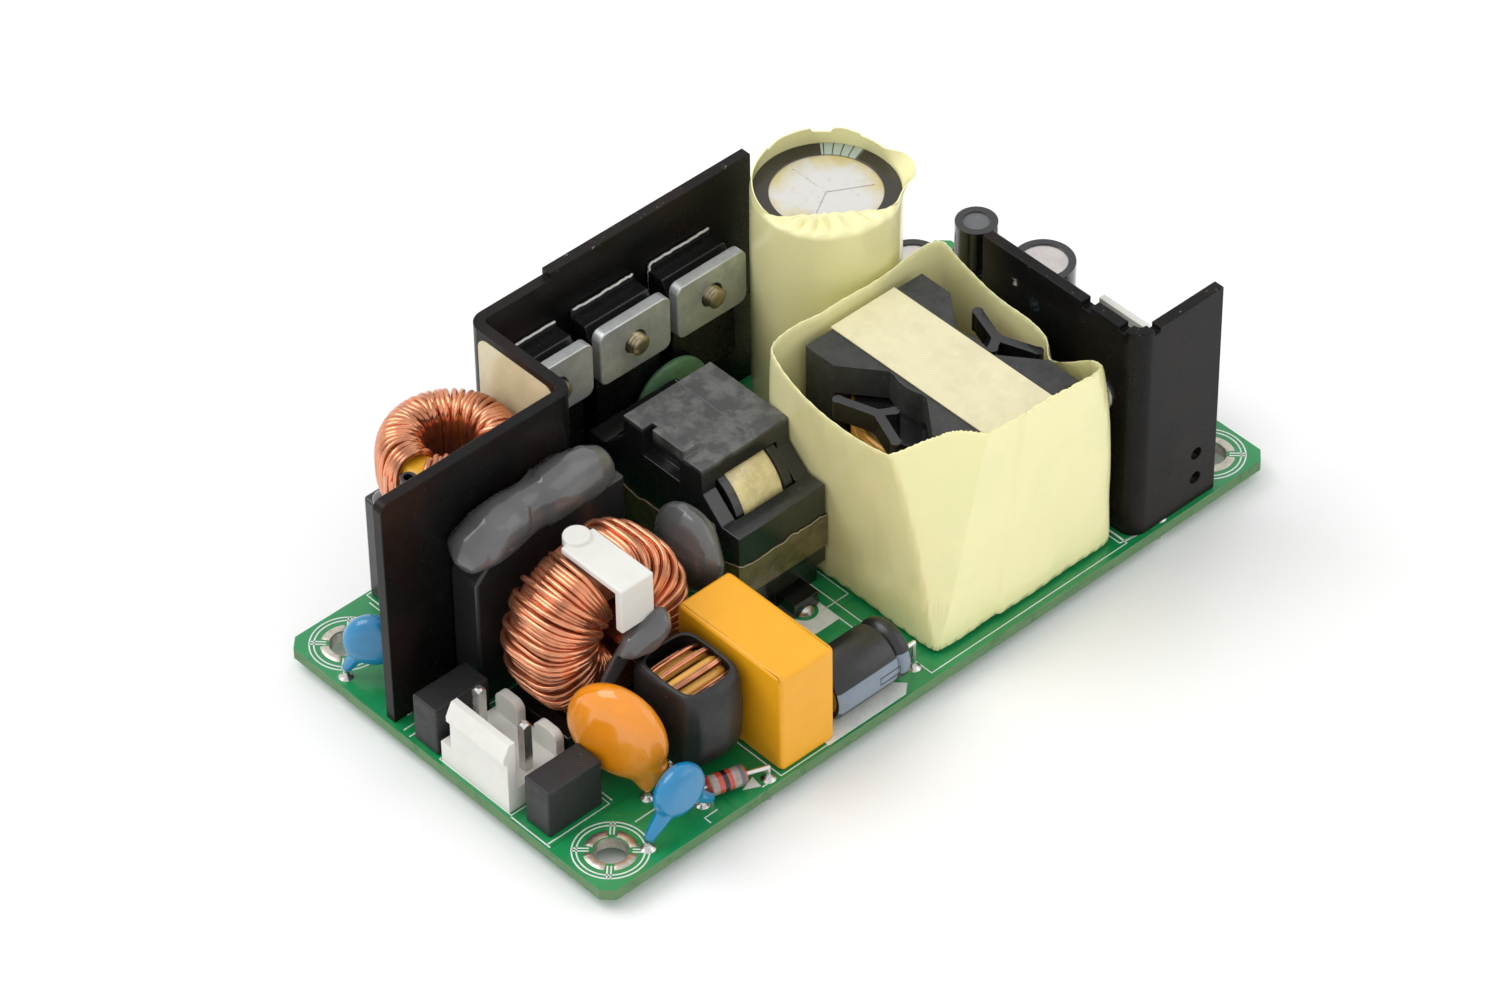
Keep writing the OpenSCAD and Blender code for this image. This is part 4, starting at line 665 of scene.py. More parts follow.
def scattered(name, part_bm, spots, finish, slot, nodes=()):
    """Copies of one small part at (point, turn) spots."""
    part = into_scene("part", to_mesh(part_bm, "part"))
    mesh = bpy.data.meshes.new("spots")
    mesh.from_pydata([tuple(point) for point, turn in spots], [], [])
    turns = mesh.attributes.new("turn", "FLOAT_VECTOR", "POINT")
    turns.data.foreach_set("vector", [c for point, turn in spots for c in turn])
    obj = grown(name, mesh, scatter_tree, finish, {"Part": part}, slot, nodes)
    bpy.data.objects.remove(part)
    return obj


def ring_turns(angles, lifts, bites, size, wire, depth_power, steps, wander):
    """Angle, radius and depth of every point of a wire that is wound round a ring.

    size is the outer radius, the radius that the wire keeps in the hole, and half the ring's depth.
    A lift lowers a turn under those that cross it, a bite lets it in towards the hole's middle, and
    wander gives how far along to the next turn a point is and how far it strays."""
    outer, hole, half_depth = size
    for t in range(len(angles) - 1):
        for k in range(steps):
            share = k / steps
            loop = 2 * math.pi * share
            along, stray = wander(share, loop, t)
            angle = angles[t] + (angles[t + 1] - angles[t]) * along + stray
            shrink = lifts[t] + (lifts[t + 1] - lifts[t]) * share + wire / 2
            bite = (bites[t] + (bites[t + 1] - bites[t]) * share) * (0.5 - 0.5 * math.sin(loop)) ** 2
            r_out, r_in = outer - shrink, hole + bite
            radius = (r_out + r_in) / 2 + (r_out - r_in) / 2 * boxy(math.sin(loop), 0.8)
            yield angle, radius, (half_depth - shrink) * boxy(math.cos(loop), depth_power)


# What a user can change

class SupplyLook(PropertyGroup):
    mask_color: FloatVectorProperty(
        name="Solder mask", description="Colour of the board's mask",
        subtype="COLOR", size=3, min=0, max=1, default=(0.008, 0.26, 0.075))
    copper_color: FloatVectorProperty(
        name="Copper wire", description="Colour of the enamelled wire",
        subtype="COLOR", size=3, min=0, max=1, default=(0.78, 0.31, 0.16))
    film_color: FloatVectorProperty(
        name="Polyester film", description="Colour of the film wraps",
        subtype="COLOR", size=3, min=0, max=1, default=(0.95, 0.9, 0.47))
    filter_turns: IntProperty(
        name="Filter turns", description="Turns in each half of the line filter choke",
        default=39, min=10, max=60)
    filter_crossings: IntProperty(
        name="Crossing turns", description="Turns that cross over the others in each half",
        default=15, min=0, max=30)
    filter_wire: FloatProperty(
        name="Filter wire", description="Diameter of the filter choke's wire",
        subtype="DISTANCE", default=0.78 * MM, min=0.3 * MM, max=1.2 * MM)
    rear_turns: IntProperty(
        name="Rear turns", description="Turns on the upright toroid at the back",
        default=51, min=20, max=80)
    rear_wire: FloatProperty(
        name="Rear wire", description="Diameter of the rear toroid's wire",
        subtype="DISTANCE", default=0.78 * MM, min=0.3 * MM, max=1.2 * MM)
    film_crease: FloatProperty(
        name="Film creases", description="Depth of the creases in the film",
        subtype="DISTANCE", default=0.22 * MM, min=0, max=1 * MM)
    silk_width: FloatProperty(
        name="Silk line", description="Width of the white lines",
        subtype="DISTANCE", default=0.2 * MM, min=0.1 * MM, max=0.5 * MM)
    key_power: FloatProperty(
        name="Key light", description="Strength of the main light",
        unit="POWER", default=1.5, min=0, max=100)
    fill_power: FloatProperty(
        name="Fill light", description="Strength of the side light",
        unit="POWER", default=0.5, min=0, max=100)
    sky: FloatProperty(
        name="Sky", description="Strength of the even light all round", default=0.95, min=0, max=5)


class Piece:
    """What every operator here shares; polish lists what polished() is given for each plain node."""
    bl_options = {"REGISTER", "UNDO"}
    polish = ()

    def execute(self, context):
        for row in self.polish:
            polished(*row)
        self.make(context.scene.supply_look)
        return {"FINISHED"}

    def make(self, look):
        """Adds what the polished nodes don't give."""


class SUPPLY_OT_finishes(Piece, Operator):
    """Make every finish that the pieces share"""
    bl_idname = "supply.finishes"
    bl_label = "Finishes"

    def make(self, look):
        FINISH.clear()
        FINISH.update(all_finishes(look))


def hole_centers():
    """Middles of the four mounting holes on the board's top face."""
    ring = 3.1 * MM
    low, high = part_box("mounting_rings")
    return [Vector((x, y, CORNER.z)) for x in (low.x + ring, high.x - ring)
            for y in (low.y + ring, high.y - ring)]


class SUPPLY_OT_board(Piece, Operator):
    """Circuit board with masked faces, bare edges and plated holes"""
    bl_idname = "supply.board"
    bl_label = "Circuit Board"

    def make(self, look):
        mask, bare, plated = 0, 1, 2
        board = polished("circuit_board", 0.12, 1)
        for finish in ("board_edge", "tinned_copper"):
            board.data.materials.append(FINISH[finish])
        for face in board.data.polygons:
            if abs(face.normal.z) < 0.9:
                near = min((face.center.xy - hole.xy).length for hole in hole_centers())
                face.material_index = plated if near < 2.4 * MM else bare
            else:
                face.material_index = mask


class SUPPLY_OT_hole_pads(Piece, Operator):
    """Four solder-coated pad segments round each mounting hole, on both faces"""
    bl_idname = "supply.hole_pads"
    bl_label = "Hole Pads"

    def make(self, look):
        section = ((2.15, 0), (2.2, 0.1), (2.6, 0.16), (3.0, 0.13), (3.25, 0))
        first, sweep_angle, count, pinch = 56, 68, 12, 0.35
        bm = bmesh.new()
        rows = []
        for k in range(count + 1):
            a = math.radians(first + sweep_angle * k / count)
            squash = pinch if k in (0, count) else 1
            rows.append([bm.verts.new((r * MM * math.cos(a), r * MM * math.sin(a), z * MM * squash))
                         for r, z in section])
        for one, two in zip(rows, rows[1:]):
            for k in range(len(section) - 1):
                bm.faces.new((one[k], one[k + 1], two[k + 1], two[k]))
            bm.faces.new((one[0], two[0], two[-1], one[-1]))
        bm.faces.new(rows[0])
        bm.faces.new(rows[-1])
        bmesh.ops.recalc_face_normals(bm, faces=bm.faces)
        spots = [(Vector((h.x, h.y, z)), (flip, 0, q * math.pi / 2))
                 for z, flip in ((CORNER.z, 0), (BOARD_LOW.z, math.pi))
                 for h in hole_centers() for q in range(4)]
        scattered("hole_pads", bm, spots, "tinned_copper", "tinned_copper", ("mounting_rings",))


class SUPPLY_OT_silk(Piece, Operator):
    """White printed rings, outlines and blocks on the component side"""
    bl_idname = "supply.silk"
    bl_label = "Silk Print"

    HEIGHT = 0.024
    ROUND = 56
    EDGE = (0.9, 107.4), (0.9, 56.2)
    OUTLINED = (("transformer_film", 0.9), ("orange_film_capacitor", 0.5), ("input_header", 0.35),
                ("filter_base", 0.8), ("front_film_capacitor", 0.4), ("rear_film_capacitor", 0.4),
                ("output_header", 0.4), ("boost_choke_bobbin", 1.0))
    STROKES = (
        ((10.2, 6.6), (13.4, 6.6), (14.2, 7.4), (16.6, 7.4)), ((16.4, 0.5), (16.4, 1.6), (18.4, 1.6)),
        ((24.6, 0.7), (26.6, 0.7), (26.6, 2.6)), ((10.6, 11.0), (10.6, 15.4), (11.8, 16.4)),
        ((35.0, 10.2), (35.0, 14.6), (41.6, 14.6)), ((50.4, 10.2), (50.4, 33.4)),
        ((86.8, 1.8), (90.2, 1.8)), ((0.6, 36.2), (3.4, 36.2), (3.4, 37.4)),
        ((9.2, 52.6), (11.6, 52.6), (11.6, 55.4)), ((7.6, 43.6), (10.8, 43.6)),
        ((104.6, 27.8), (107.2, 27.8)), ((104.9, 10.2), (104.9, 27.2)))

    def make(self, look):
        hole_rings, hole_ticks = self.round_holes()
        rings = hole_rings + self.round_cans() + self.outlines()
        for name, paths, closed in (("silk_lines", hole_ticks + self.strokes(), False),
                                    ("silk_outlines", rings, True)):
            flat = [[place(x, y, self.HEIGHT / 2) for x, y in path] for path in paths]
            ribbons(name, flat, look.silk_width / MM, self.HEIGHT, "silk_ink", "solder_mask", closed)
        self.blocks()

    def round_holes(self):
        """Two rings round each hole, and the pairs of ticks that split its pads."""
        rings, ticks = [], []
        for hole in hole_centers():
            c = (hole - CORNER) / MM
            rings += [circle(c, r, self.ROUND) for r in (3.95, 4.5)]
            for q in range(4):
                a = math.pi / 4 + q * math.pi / 2
                along, side = Vector((math.cos(a), math.sin(a))), Vector((-math.sin(a), math.cos(a)))
                ticks += [[c.xy + along * 2.5 + side * off, c.xy + along * 4.5 + side * off]
                          for off in (-0.22, 0.22)]
        return rings, ticks

    def round_cans(self):
        boxes = [node_box(node) for node in ("bulk_capacitor", "drum_inductor")]
        return [circle((low + high) / 2, (high.x - low.x) / 2 + 0.5, self.ROUND) for low, high in boxes]

    def outlines(self):
        """Boxes round the parts that stand on a rectangle, kept inside the board's edge."""
        (x_min, x_max), (y_min, y_max) = self.EDGE
        made = []
        for node, grow in self.OUTLINED:
            low, high = node_box(node)
            x0, y0 = max(low.x, x_min), max(low.y, y_min)
            x1, y1 = min(high.x, x_max), min(high.y, y_max)
            if x0 <= 1.5 or y0 <= 1.5:
                grow = 0.35
            made.append([(x0 - grow, y0 - grow), (x1 + grow, y0 - grow),
                         (x1 + grow, y1 + grow), (x0 - grow, y1 + grow)])
        return made

    def strokes(self):
        """Open lines: round the angle's foot, between parts, and at the fuses."""
        low, high = node_box("secondary_heatsink")
        made = [[(low.x - by, high.y + by), (low.x - by, 1.0 + by * 0.3), (low.x + 2.5, 0.9)]
                for by in (0.55, 1.3)]
        made += self.STROKES
        low, high = node_box("input_fuses")
        made.append([(low.x - 0.3, low.y - 0.5), (high.x + 0.5, low.y - 0.5), (high.x + 0.5, low.y + 2.4)])
        return made + [((0.4, 10.2), (0.4, 17.0)), ((0.35, 34.9), (9.6, 34.9))]

    def blocks(self):
        """Solid white areas: under the lying capacitor, beside the choke and at the arrester."""
        low, high = node_box("lying_capacitor")
        bm = bmesh.new()
        for corners in (
                [(low.x - 2.4, 0.35), (high.x - 1.6, 0.35), (high.x - 0.2, 1.6), (high.x - 2.0, 3.6),
                 (low.x - 2.4, 3.6)],
                [(45.6, 15.0), (50.4, 15.0), (50.4, 21.6), (45.6, 21.6)],
                [(22.6, 1.9), (24.6, 0.9), (24.9, 2.7)]):
            foot, face = ([bm.verts.new(place(x, y, z)) for x, y in corners] for z in (0.0, 0.022))
            bm.faces.new(face)
            bm.faces.new(foot[::-1])
            for k in range(len(corners)):
                n = (k + 1) % len(corners)
                bm.faces.new((foot[k], foot[n], face[n], face[k]))
        bmesh.ops.recalc_face_normals(bm, faces=bm.faces)
        stand("silk_blocks", to_mesh(bm, "silk_blocks"), "solder_mask", finish="silk_ink")


def joints_under_board():
    """Centres of the solder joints, in metres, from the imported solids."""
    bm = merged("solder_joints")
    bm.verts.ensure_lookup_table()
    seen, centers = set(), []
    for start in bm.verts:
        if start.index in seen:
            continue
        stack, group = [start], []
        seen.add(start.index)
        while stack:
            v = stack.pop()
            group.append(v.co.copy())
            for other in (e.other_vert(v) for e in v.link_edges):
                if other.index not in seen:
                    seen.add(other.index)
                    stack.append(other)
        low = Vector(min(c[i] for c in group) for i in range(3))
        high = Vector(max(c[i] for c in group) for i in range(3))
        centers.append((low + high) / 2)
    bm.free()
    return centers


class SUPPLY_OT_solder(Piece, Operator):
    """Solder under the board and small fillets where leads come up through it"""
    bl_idname = "supply.solder"
    bl_label = "Solder"
    polish = (("solder_joints", 0, 2, "solder"),)

    FILLET = (0.95, 0.0), (0.9, 0.05), (0.62, 0.2), (0.42, 0.5), (0.36, 0.75), (0, 0.78)
    CLEARANCE = (0, 0.03), (1.75, 0.03), (1.75, 0.0), (0, 0.0)
    DOME = (1.3, 0.03), (1.25, 0.3), (0.95, 0.75), (0.4, 1.0), (0, 1.04)

    def make(self, look):
        tops = [Vector((c.x, c.y, CORNER.z)) for c in joints_under_board()]
        scattered("solder_fillets", spun(self.FILLET, steps=14), [(top, (0, 0, 0)) for top in tops],
                  "solder", "tinned_copper")
        beside_choke = place(48.1, 18.6)
        spot = min(tops, key=lambda top: (top.xy - beside_choke.xy).length)
        ring = spun(self.CLEARANCE, spot, steps=36)
        stand("pad_clearance", to_mesh(ring, "pad_clearance"), "solder_mask")
        dome = spun(self.DOME, spot, steps=24)
        stand("round_solder_pad", to_mesh(dome, "round_solder_pad", 60), "tinned_copper", finish="solder")


def screw_thread(length, radius, pitch=0.5):
    rows = [(0.0, 0.0), (radius * 0.55, 0.0), (radius - 0.25, 0.12)]
    along = 0.3
    while along < length:
        rows += [(radius, along), (radius - 0.24, along + pitch / 2)]
        along += pitch
    return rows


def screw_head(radius, start, height):
    return [(radius - 0.15, start), (radius, start + 0.15), (radius, start + height * 0.35),
            (radius * 0.8, start + height * 0.8), (radius * 0.42, start + height), (0, start + height)]


def cross_recess(bm, tip, direction):
    """Sinks a cross into a screw's head, whose middle is at tip."""
    reach, width, depth = 2.3, 0.72, 1.4
    cut = bmesh.new()
    for size in ((reach, width), (width, reach)):
        cube = bmesh.ops.create_cube(cut, size=1)["verts"]
        bmesh.ops.scale(cut, vec=Vector((*size, depth)) * MM, verts=cube)
    cut.transform(Matrix.Translation(tip) @ upright_to(direction))
    cutter = into_scene("cutter", to_mesh(cut, "cutter"))
    mesh = baked(bm, 35, ("BOOLEAN", {
        "operation": "DIFFERENCE", "solver": "EXACT", "object": cutter, "use_self": True}))
    bpy.data.objects.remove(cutter)
    out = bmesh.new()
    out.from_mesh(mesh)
    return out


class SUPPLY_OT_primary_heatsink(Piece, Operator):
    """Folded black plate with its cream tape"""
    bl_idname = "supply.primary_heatsink"
    bl_label = "Primary Heat Sink"
    polish = (("primary_heatsink", 0.22), ("heatsink_tape", 0))


class SUPPLY_OT_transistors(Piece, Operator):
    """Power transistors with pads, clamps, threaded studs and a line of grease"""
    bl_idname = "supply.transistors"
    bl_label = "Power Transistors"
    polish = (("power_transistors", 0.3, 3), ("transistor_insulators", 0.05, 1), ("clamp_blocks", 0.32, 3))

    COUNT = 3
    HEAD_HEIGHT = 1.25

    def make(self, look):
        low, high = node_box("clamp_screws")
        first, last = low.x + (high.z - low.z) / 2, high.x - (high.z - low.z) / 2
        centers = [first + (last - first) * k / (self.COUNT - 1) for k in range(self.COUNT)]
        length = high.y - low.y
        rows = screw_thread(length - 1.4, 1.35)
        rows += screw_head(2.6, length - self.HEAD_HEIGHT, self.HEAD_HEIGHT)
        spots = [(place(x, low.y, (low.z + high.z) / 2), (0, 0, 0)) for x in centers]
        scattered("clamp_studs", spun(rows, axis="Y", steps=28), spots, "brass_screw", "brass_screw",
                  ("clamp_screws",))
        wires("grease_lines", self.grease(centers), 0.34, "thermal_grease", "insulator_pad", sides=7)

    def grease(self, centers):
        """Uneven lines along the pads' tops, and down the left side of the last pad."""
        rng = random.Random(4)
        low, high = node_box("transistor_insulators")
        paths = []
        for x in centers:
            line = [(x - 4.7 + 9.4 * j / 24, high.z + 0.02) for j in range(25)]
            if x == centers[-1]:
                line = [(x - 4.9, high.z - 0.4 - 0.35 * j) for j in range(12)][::-1] + line
            paths.append([place(px + rng.uniform(-0.05, 0.05), low.y + rng.uniform(-0.12, 0.02),
                                pz + rng.uniform(-0.04, 0.06)) for px, pz in line])
        return paths


class SUPPLY_OT_secondary_heatsink(Piece, Operator):
    """Black angle with its rectifiers and screws"""
    bl_idname = "supply.secondary_heatsink"
    bl_label = "Secondary Heat Sink"
    polish = (("secondary_heatsink", 0.2, 2, "black_anodised_angle"), ("output_rectifiers", 0.28, 3))

    def make(self, look):
        low, high = node_box("rectifier_screws")
        length, half = high.x - low.x, (high.z - low.z) / 2
        rows = [(0, 0.0), (1.1, 0.02), (2.1, 0.25), (2.6, 0.75), (2.6, 1.05), (1.4, 1.1),
                (1.4, length - 2.4), (2.6, length - 2.4), (2.6, length - 0.2), (1.5, length - 0.2),
                (1.4, length), (0, length)]
        bolt = cross_recess(spun(rows, axis="X", steps=28), Vector((0.1 * MM, 0, 0)), Vector((-1, 0, 0)))
        spots = [(place(low.x, y, (low.z + high.z) / 2), (0, 0, 0)) for y in (low.y + half, high.y - half)]
        scattered("rectifier_bolts", bolt, spots, "zinc_screw", "zinc_screw", ("rectifier_screws",))


class CuffRim:
    """Rim of the bulk capacitor's film: folded over the top in front, standing up behind."""

    FLAP_AT, FLAP_ENDS = 233, (56, 62)
    FLARE_AT, FLARE_ENDS = 328, (4, 30)
    FLAP_REACH = 4.5
    CEILING = 37.9
    PARTS = 16
    # Angle and height of the torn edge, round from the right front
    STANDING = ((-60, 0.9), (-42, 1.4), (-20, 1.7), (18, 1.9), (21, 2.4), (40, 2.6), (44, 1.6), (58, 1.8),
                (61, 3.0), (80, 2.8), (98, 1.6), (100, 2.1), (112, 1.9), (138, 1.5), (170, 1.1),
                (185, 0.8), (300, 0.9))

    def __init__(self, radius, top):
        self.radius, self.top = radius, top

    def off(self, angle, center):
        return (angle - center + 180) % 360 - 180

    def standing(self, angle):
        at = (angle + 60) % 360 - 60
        return next(h0 + (h1 - h0) * (at - a0) / (a1 - a0)
                    for (a0, h0), (a1, h1) in zip(self.STANDING, self.STANDING[1:]) if at <= a1)

    def point(self, angle, share):
        """Radius and height at an angle, from the fold (0) to the free edge (1)."""
        off = self.off(angle, self.FLAP_AT)
        front = 1 - step_between(abs(off), *self.FLAP_ENDS)
        flare = 1 - step_between(abs(self.off(angle, self.FLARE_AT)), *self.FLARE_ENDS)
        chord = self.radius - (self.radius - self.FLAP_REACH) / max(0.3, math.cos(math.radians(off)))
        length = (1 - front) * (self.standing(angle) + 0.9 * flare) + front * max(0.5, chord)
        tilt = math.radians((1 - front) * (9 - 54 * flare) + front * 94)
        radius, height = self.radius, self.top
        for k in range(self.PARTS):
            here = tilt * min(1.0, share * 7.8 * (k + 0.5) / self.PARTS)
            radius -= math.sin(here) * length * share / self.PARTS
            height += math.cos(here) * length * share / self.PARTS
        pleat = abs((angle * 0.062 + 0.21 * math.sin(math.radians(angle * 5))) % 1 - 0.5) * 2
        height += front * (pleat - 0.3) * 0.9 * math.sin(math.pi * min(share, 0.9))
        return radius, min(height, self.CEILING)


def film_cuff(look):
    """The bulk capacitor's film as one sheet of its real thickness."""
    around, rim_rows, sheet = 180, 12, 0.16
    can_low, can_high = node_box("bulk_capacitor_sleeve")
    c = (can_low + can_high) / 2
    r0, top = (can_high.x - can_low.x) / 2 + 0.06, can_high.z + 0.15
    rim = CuffRim(r0, top)
    bm = bmesh.new()
    grid = []
    for k in range(around):
        a = 360 * k / around
        bulge = 0.06 * math.sin(math.radians(3 * a)) + 0.05 * math.sin(math.radians(8 * a))
        column = [(r0 + bulge * min(1, (top - z) / 8), z)
                  for z in (0.35, 6, 12, 18, 24, 28, 31, 33.4, top - 0.4)]
        column += [rim.point(a, t / rim_rows) for t in range(rim_rows + 1)]
        cos, sin = math.cos(math.radians(a)), math.sin(math.radians(a))
        grid.append([bm.verts.new(place(c.x + r * cos, c.y + r * sin, z)) for r, z in column])
    for one, two in zip(grid, grid[1:] + grid[:1]):
        for k in range(len(one) - 1):
            bm.faces.new((one[k], two[k], two[k + 1], one[k + 1]))
    bmesh.ops.recalc_face_normals(bm, faces=bm.faces)
    mesh = baked(bm, 70, ("SOLIDIFY", {"thickness": sheet * MM, "offset": 1}))
    ripple(mesh, 2.4, look.film_crease / MM * 0.35, (1, 1, 0.5), 4.0)
    stand_smooth("bulk_film_cuff", mesh, "bulk_capacitor_film", "bulk_film")


class SUPPLY_OT_bulk_capacitor(Piece, Operator):
    """Bulk electrolytic with striped sleeve and creased film"""
    bl_idname = "supply.bulk_capacitor"
    bl_label = "Bulk Capacitor"
    polish = (("bulk_capacitor", 0.25), ("bulk_capacitor_sleeve", 0.3, 3, "bulk_sleeve"))

    def make(self, look):
        film_cuff(look)


def wrap_folds(mesh):
    """Slanted corner fold, an overlap seam down the front and a second layer low on the left."""
    low = node_box("transformer_core")[0]
    left, front = low.x - 4.95, low.y - 1.55
    corner_reach, wall = 9, 3
    normals = [v.normal.copy() for v in mesh.vertices]
    for v, normal in zip(mesh.vertices, normals):
        p = (v.co - CORNER) / MM
        from_left, from_front = p.x - left, p.y - front
        facing = normal.x if from_left < from_front else normal.y
        wide = 0.6 + 5.4 * max(0.0, p.z) / 27 + 0.5 * step_between(facing, -0.6, 0.6)
        short = wide - from_left - from_front
        if short > 0 and from_left < corner_reach and from_front < corner_reach:
            v.co += Vector((short * 0.5, short * 0.5, 0)) * MM
        if from_front < wall and normal.y < 0:
            seam = 63.9 + 0.108 * (p.z + 0.8)
            v.co.y -= 0.26 * step_between(p.x, seam - 0.12, seam + 0.12) * MM
        if from_left < wall and normal.x < 0:
            edge = 7.5 - 0.16 * from_front
            v.co.x -= 0.24 * step_between(edge - p.z, -0.3, 0.3) * MM


class SUPPLY_OT_transformer(Piece, Operator):
    """Main transformer: core, tape, bobbin, varnished coil and film"""
    bl_idname = "supply.transformer"
    bl_label = "Transformer"
    polish = (("transformer_core", 0.3), ("transformer_core_tape", 0.08, 1), ("transformer_bobbin", 0.2),
              ("transformer_winding", 0.3, 2, "amber_tape"))

    def make(self, look):
        film_mesh = rounded("transformer_film")
        wrap_folds(film_mesh)
        depth = look.film_crease / MM * 0.8
        ripple(film_mesh, 5.5, depth, (1, 1, 0.6), 5.0)
        ripple(film_mesh, 2.1, depth * 0.3, (1, 1, 0.5), 12.0)
        stand_smooth("transformer_film_creased", film_mesh, "transformer_film", "yellow_film")
        self.coil()

    def coil(self):
        """Level turns of thick varnished wire, each a little uneven."""
        turns, steps, margin = 14, 40, 1.2
        low, high = node_box("transformer_winding")
        c, r = (low + high) / 2, (high.x - low.x) / 2 + 0.12
        rng = random.Random(9)
        paths = []
        for k in range(turns):
            z = low.z + margin + (high.z - low.z - 2 * margin) * k / (turns - 1)
            paths.append([place(c.x + r * math.cos(a), c.y + r * math.sin(a), z + rng.uniform(-0.25, 0.25))
                          for a in (math.pi * 2 * j / steps for j in range(steps + 1))])
        wires("transformer_wires", paths, 0.75, "amber_wire", "coil_tape")


class SUPPLY_OT_boost_choke(Piece, Operator):
    """Boost choke with its stepped case, flanges, taped coil and amber tape"""
    bl_idname = "supply.boost_choke"
    bl_label = "Boost Choke"
    polish = (("boost_choke_shroud", 0.4, 3), ("boost_choke_bobbin", 0.25), ("boost_choke_winding", 0.3))

    def make(self, look):
        rng = random.Random(3)
        low, high = node_box("boost_choke_shroud")
        c = (low + high) / 2
        self.torn_tape(low, high, c)
        half, beside, steps = 6.4, 0.9, 50
        seam = [place(c.x + beside + rng.uniform(-0.07, 0.07),
                      c.y - half + 2 * half * k / steps, high.z + 0.01) for k in range(steps + 1)]
        wires("choke_seam", [seam], 0.09, "drum_grey", "choke_case", sides=6)

    def torn_tape(self, body_low, body_high, c):
        """Amber tape round the case with a torn, pale upper edge."""
        low, high = node_box("boost_choke_tape")
        side_x, side_y = 6.9, 13.05
        corners = [(body_low.x, body_low.y), (body_high.x, body_low.y),
                   (body_high.x, body_high.y), (body_low.x, body_high.y)]
        ring = []
        for (x0, y0), (x1, y1) in zip(corners, corners[1:] + corners[:1]):
            count = max(2, int(math.hypot(x1 - x0, y1 - y0) / 0.5))
            ring += [(x0 + (x1 - x0) * k / count, y0 + (y1 - y0) * k / count) for k in range(count)]

        def grown_out(x, y, by):
            return (x + math.copysign(by, x - c.x) * (abs(x - c.x) > side_x),
                    y + math.copysign(by, y - c.y) * (abs(y - c.y) > side_y))

        bm = bmesh.new()
        rows, edge = [], []
        for x, y in ring:
            tear = 0.55 * noise.noise(Vector((x, y, 0)) * 0.45) \
                + 0.25 * noise.noise(Vector((x, y, 3)) * 1.7)
            top = high.z - 0.3 + tear * 1.2
            inner, outer = grown_out(x, y, 0.03), grown_out(x, y, 0.15)
            edge.append(place(*grown_out(x, y, 0.12), top - 0.1))
            rows.append([bm.verts.new(place(*p, z)) for p, z in (
                (inner, low.z), (outer, low.z), (outer, top), (inner, top))])
        for one, two in zip(rows, rows[1:] + rows[:1]):
            for k in range(4):
                n = (k + 1) % 4
                bm.faces.new((one[k], two[k], two[n], one[n]))
        bmesh.ops.recalc_face_normals(bm, faces=bm.faces)
        stand("torn_amber_tape", to_mesh(bm, "torn_amber_tape"), "amber_tape", ("boost_choke_tape",))
        wires("torn_tape_edge", [edge], 0.16, "tape_edge", "amber_tape", sides=6, closed=True)


def refinished(node, finish):
    """Gives a CAD node that keeps its shape one of the finishes here."""
    materials = NODES[node].data.materials
    materials.clear()
    materials.append(FINISH[finish])


class SUPPLY_OT_filter_choke(Piece, Operator):
    """Line filter choke: two copper windings laid in crossing layers, divider and base"""
    bl_idname = "supply.filter_choke"
    bl_label = "Line Filter Choke"
    polish = (("filter_divider", 0.45, 3), ("filter_base", 0.3))

    HOLE = 1.5
    STEPS = 34
    HALVES = (("filter_winding_left", 108, 251, 1), ("filter_winding_right", -71, 76, 2))

    def make(self, look):
        # The core is given dark copper, painted shade where the turns part
        refinished("filter_choke_core", "painted_shade_copper")
        core_low, core_high = node_box("filter_choke_core")
        left, right = node_box("filter_winding_left"), node_box("filter_winding_right")
        c = Vector(((left[0].x + right[1].x) / 2, (left[0].y + left[1].y) / 2,
                    (core_low.z + core_high.z) / 2))
        outer, half_depth = (right[1].x - left[0].x) / 2, (left[1].y - left[0].y) / 2
        wire = look.filter_wire / MM
        size = (outer, self.HOLE + wire / 2 + 0.2, half_depth)
        for node, start, end, seed in self.HALVES:
            path = [place(c.x + radius * math.cos(a), c.y + depth, c.z + radius * math.sin(a))
                    for a, radius, depth in self.layer(size, start, end, look, seed)]
            wires(node + "_wire", [path], wire, "copper_wire", SLOT_OF[node], (node,))

    def layer(self, size, start, end, look, seed):
        """One wire: close turns over the whole half, then crossing turns back over them."""
        rng = random.Random(seed)
        turns, cross, wire = look.filter_turns, look.filter_crossings, look.filter_wire / MM
        angles = [start + (end - start) * k / turns + rng.uniform(-1.0, 1.0) for k in range(turns + 1)]
        angles += [start + 6 + (end - start - 12) * (1 - (k + 0.5) / cross) + rng.uniform(-9, 9)
                   for k in range(cross)]
        lifts = [0.9 * wire] * (turns + 1) + [0.08 * wire] * cross
        bites = [(0.0, 0.9, 1.8)[k % 3] + rng.uniform(0, 0.2) for k in range(len(angles))]
        points = ring_turns(angles, lifts, bites, size, wire, 0.62, self.STEPS,
                            lambda share, loop, t: (share ** 1.2, 0.6 * math.sin(loop + t)))
        return [(math.radians(a), radius, depth) for a, radius, depth in points]


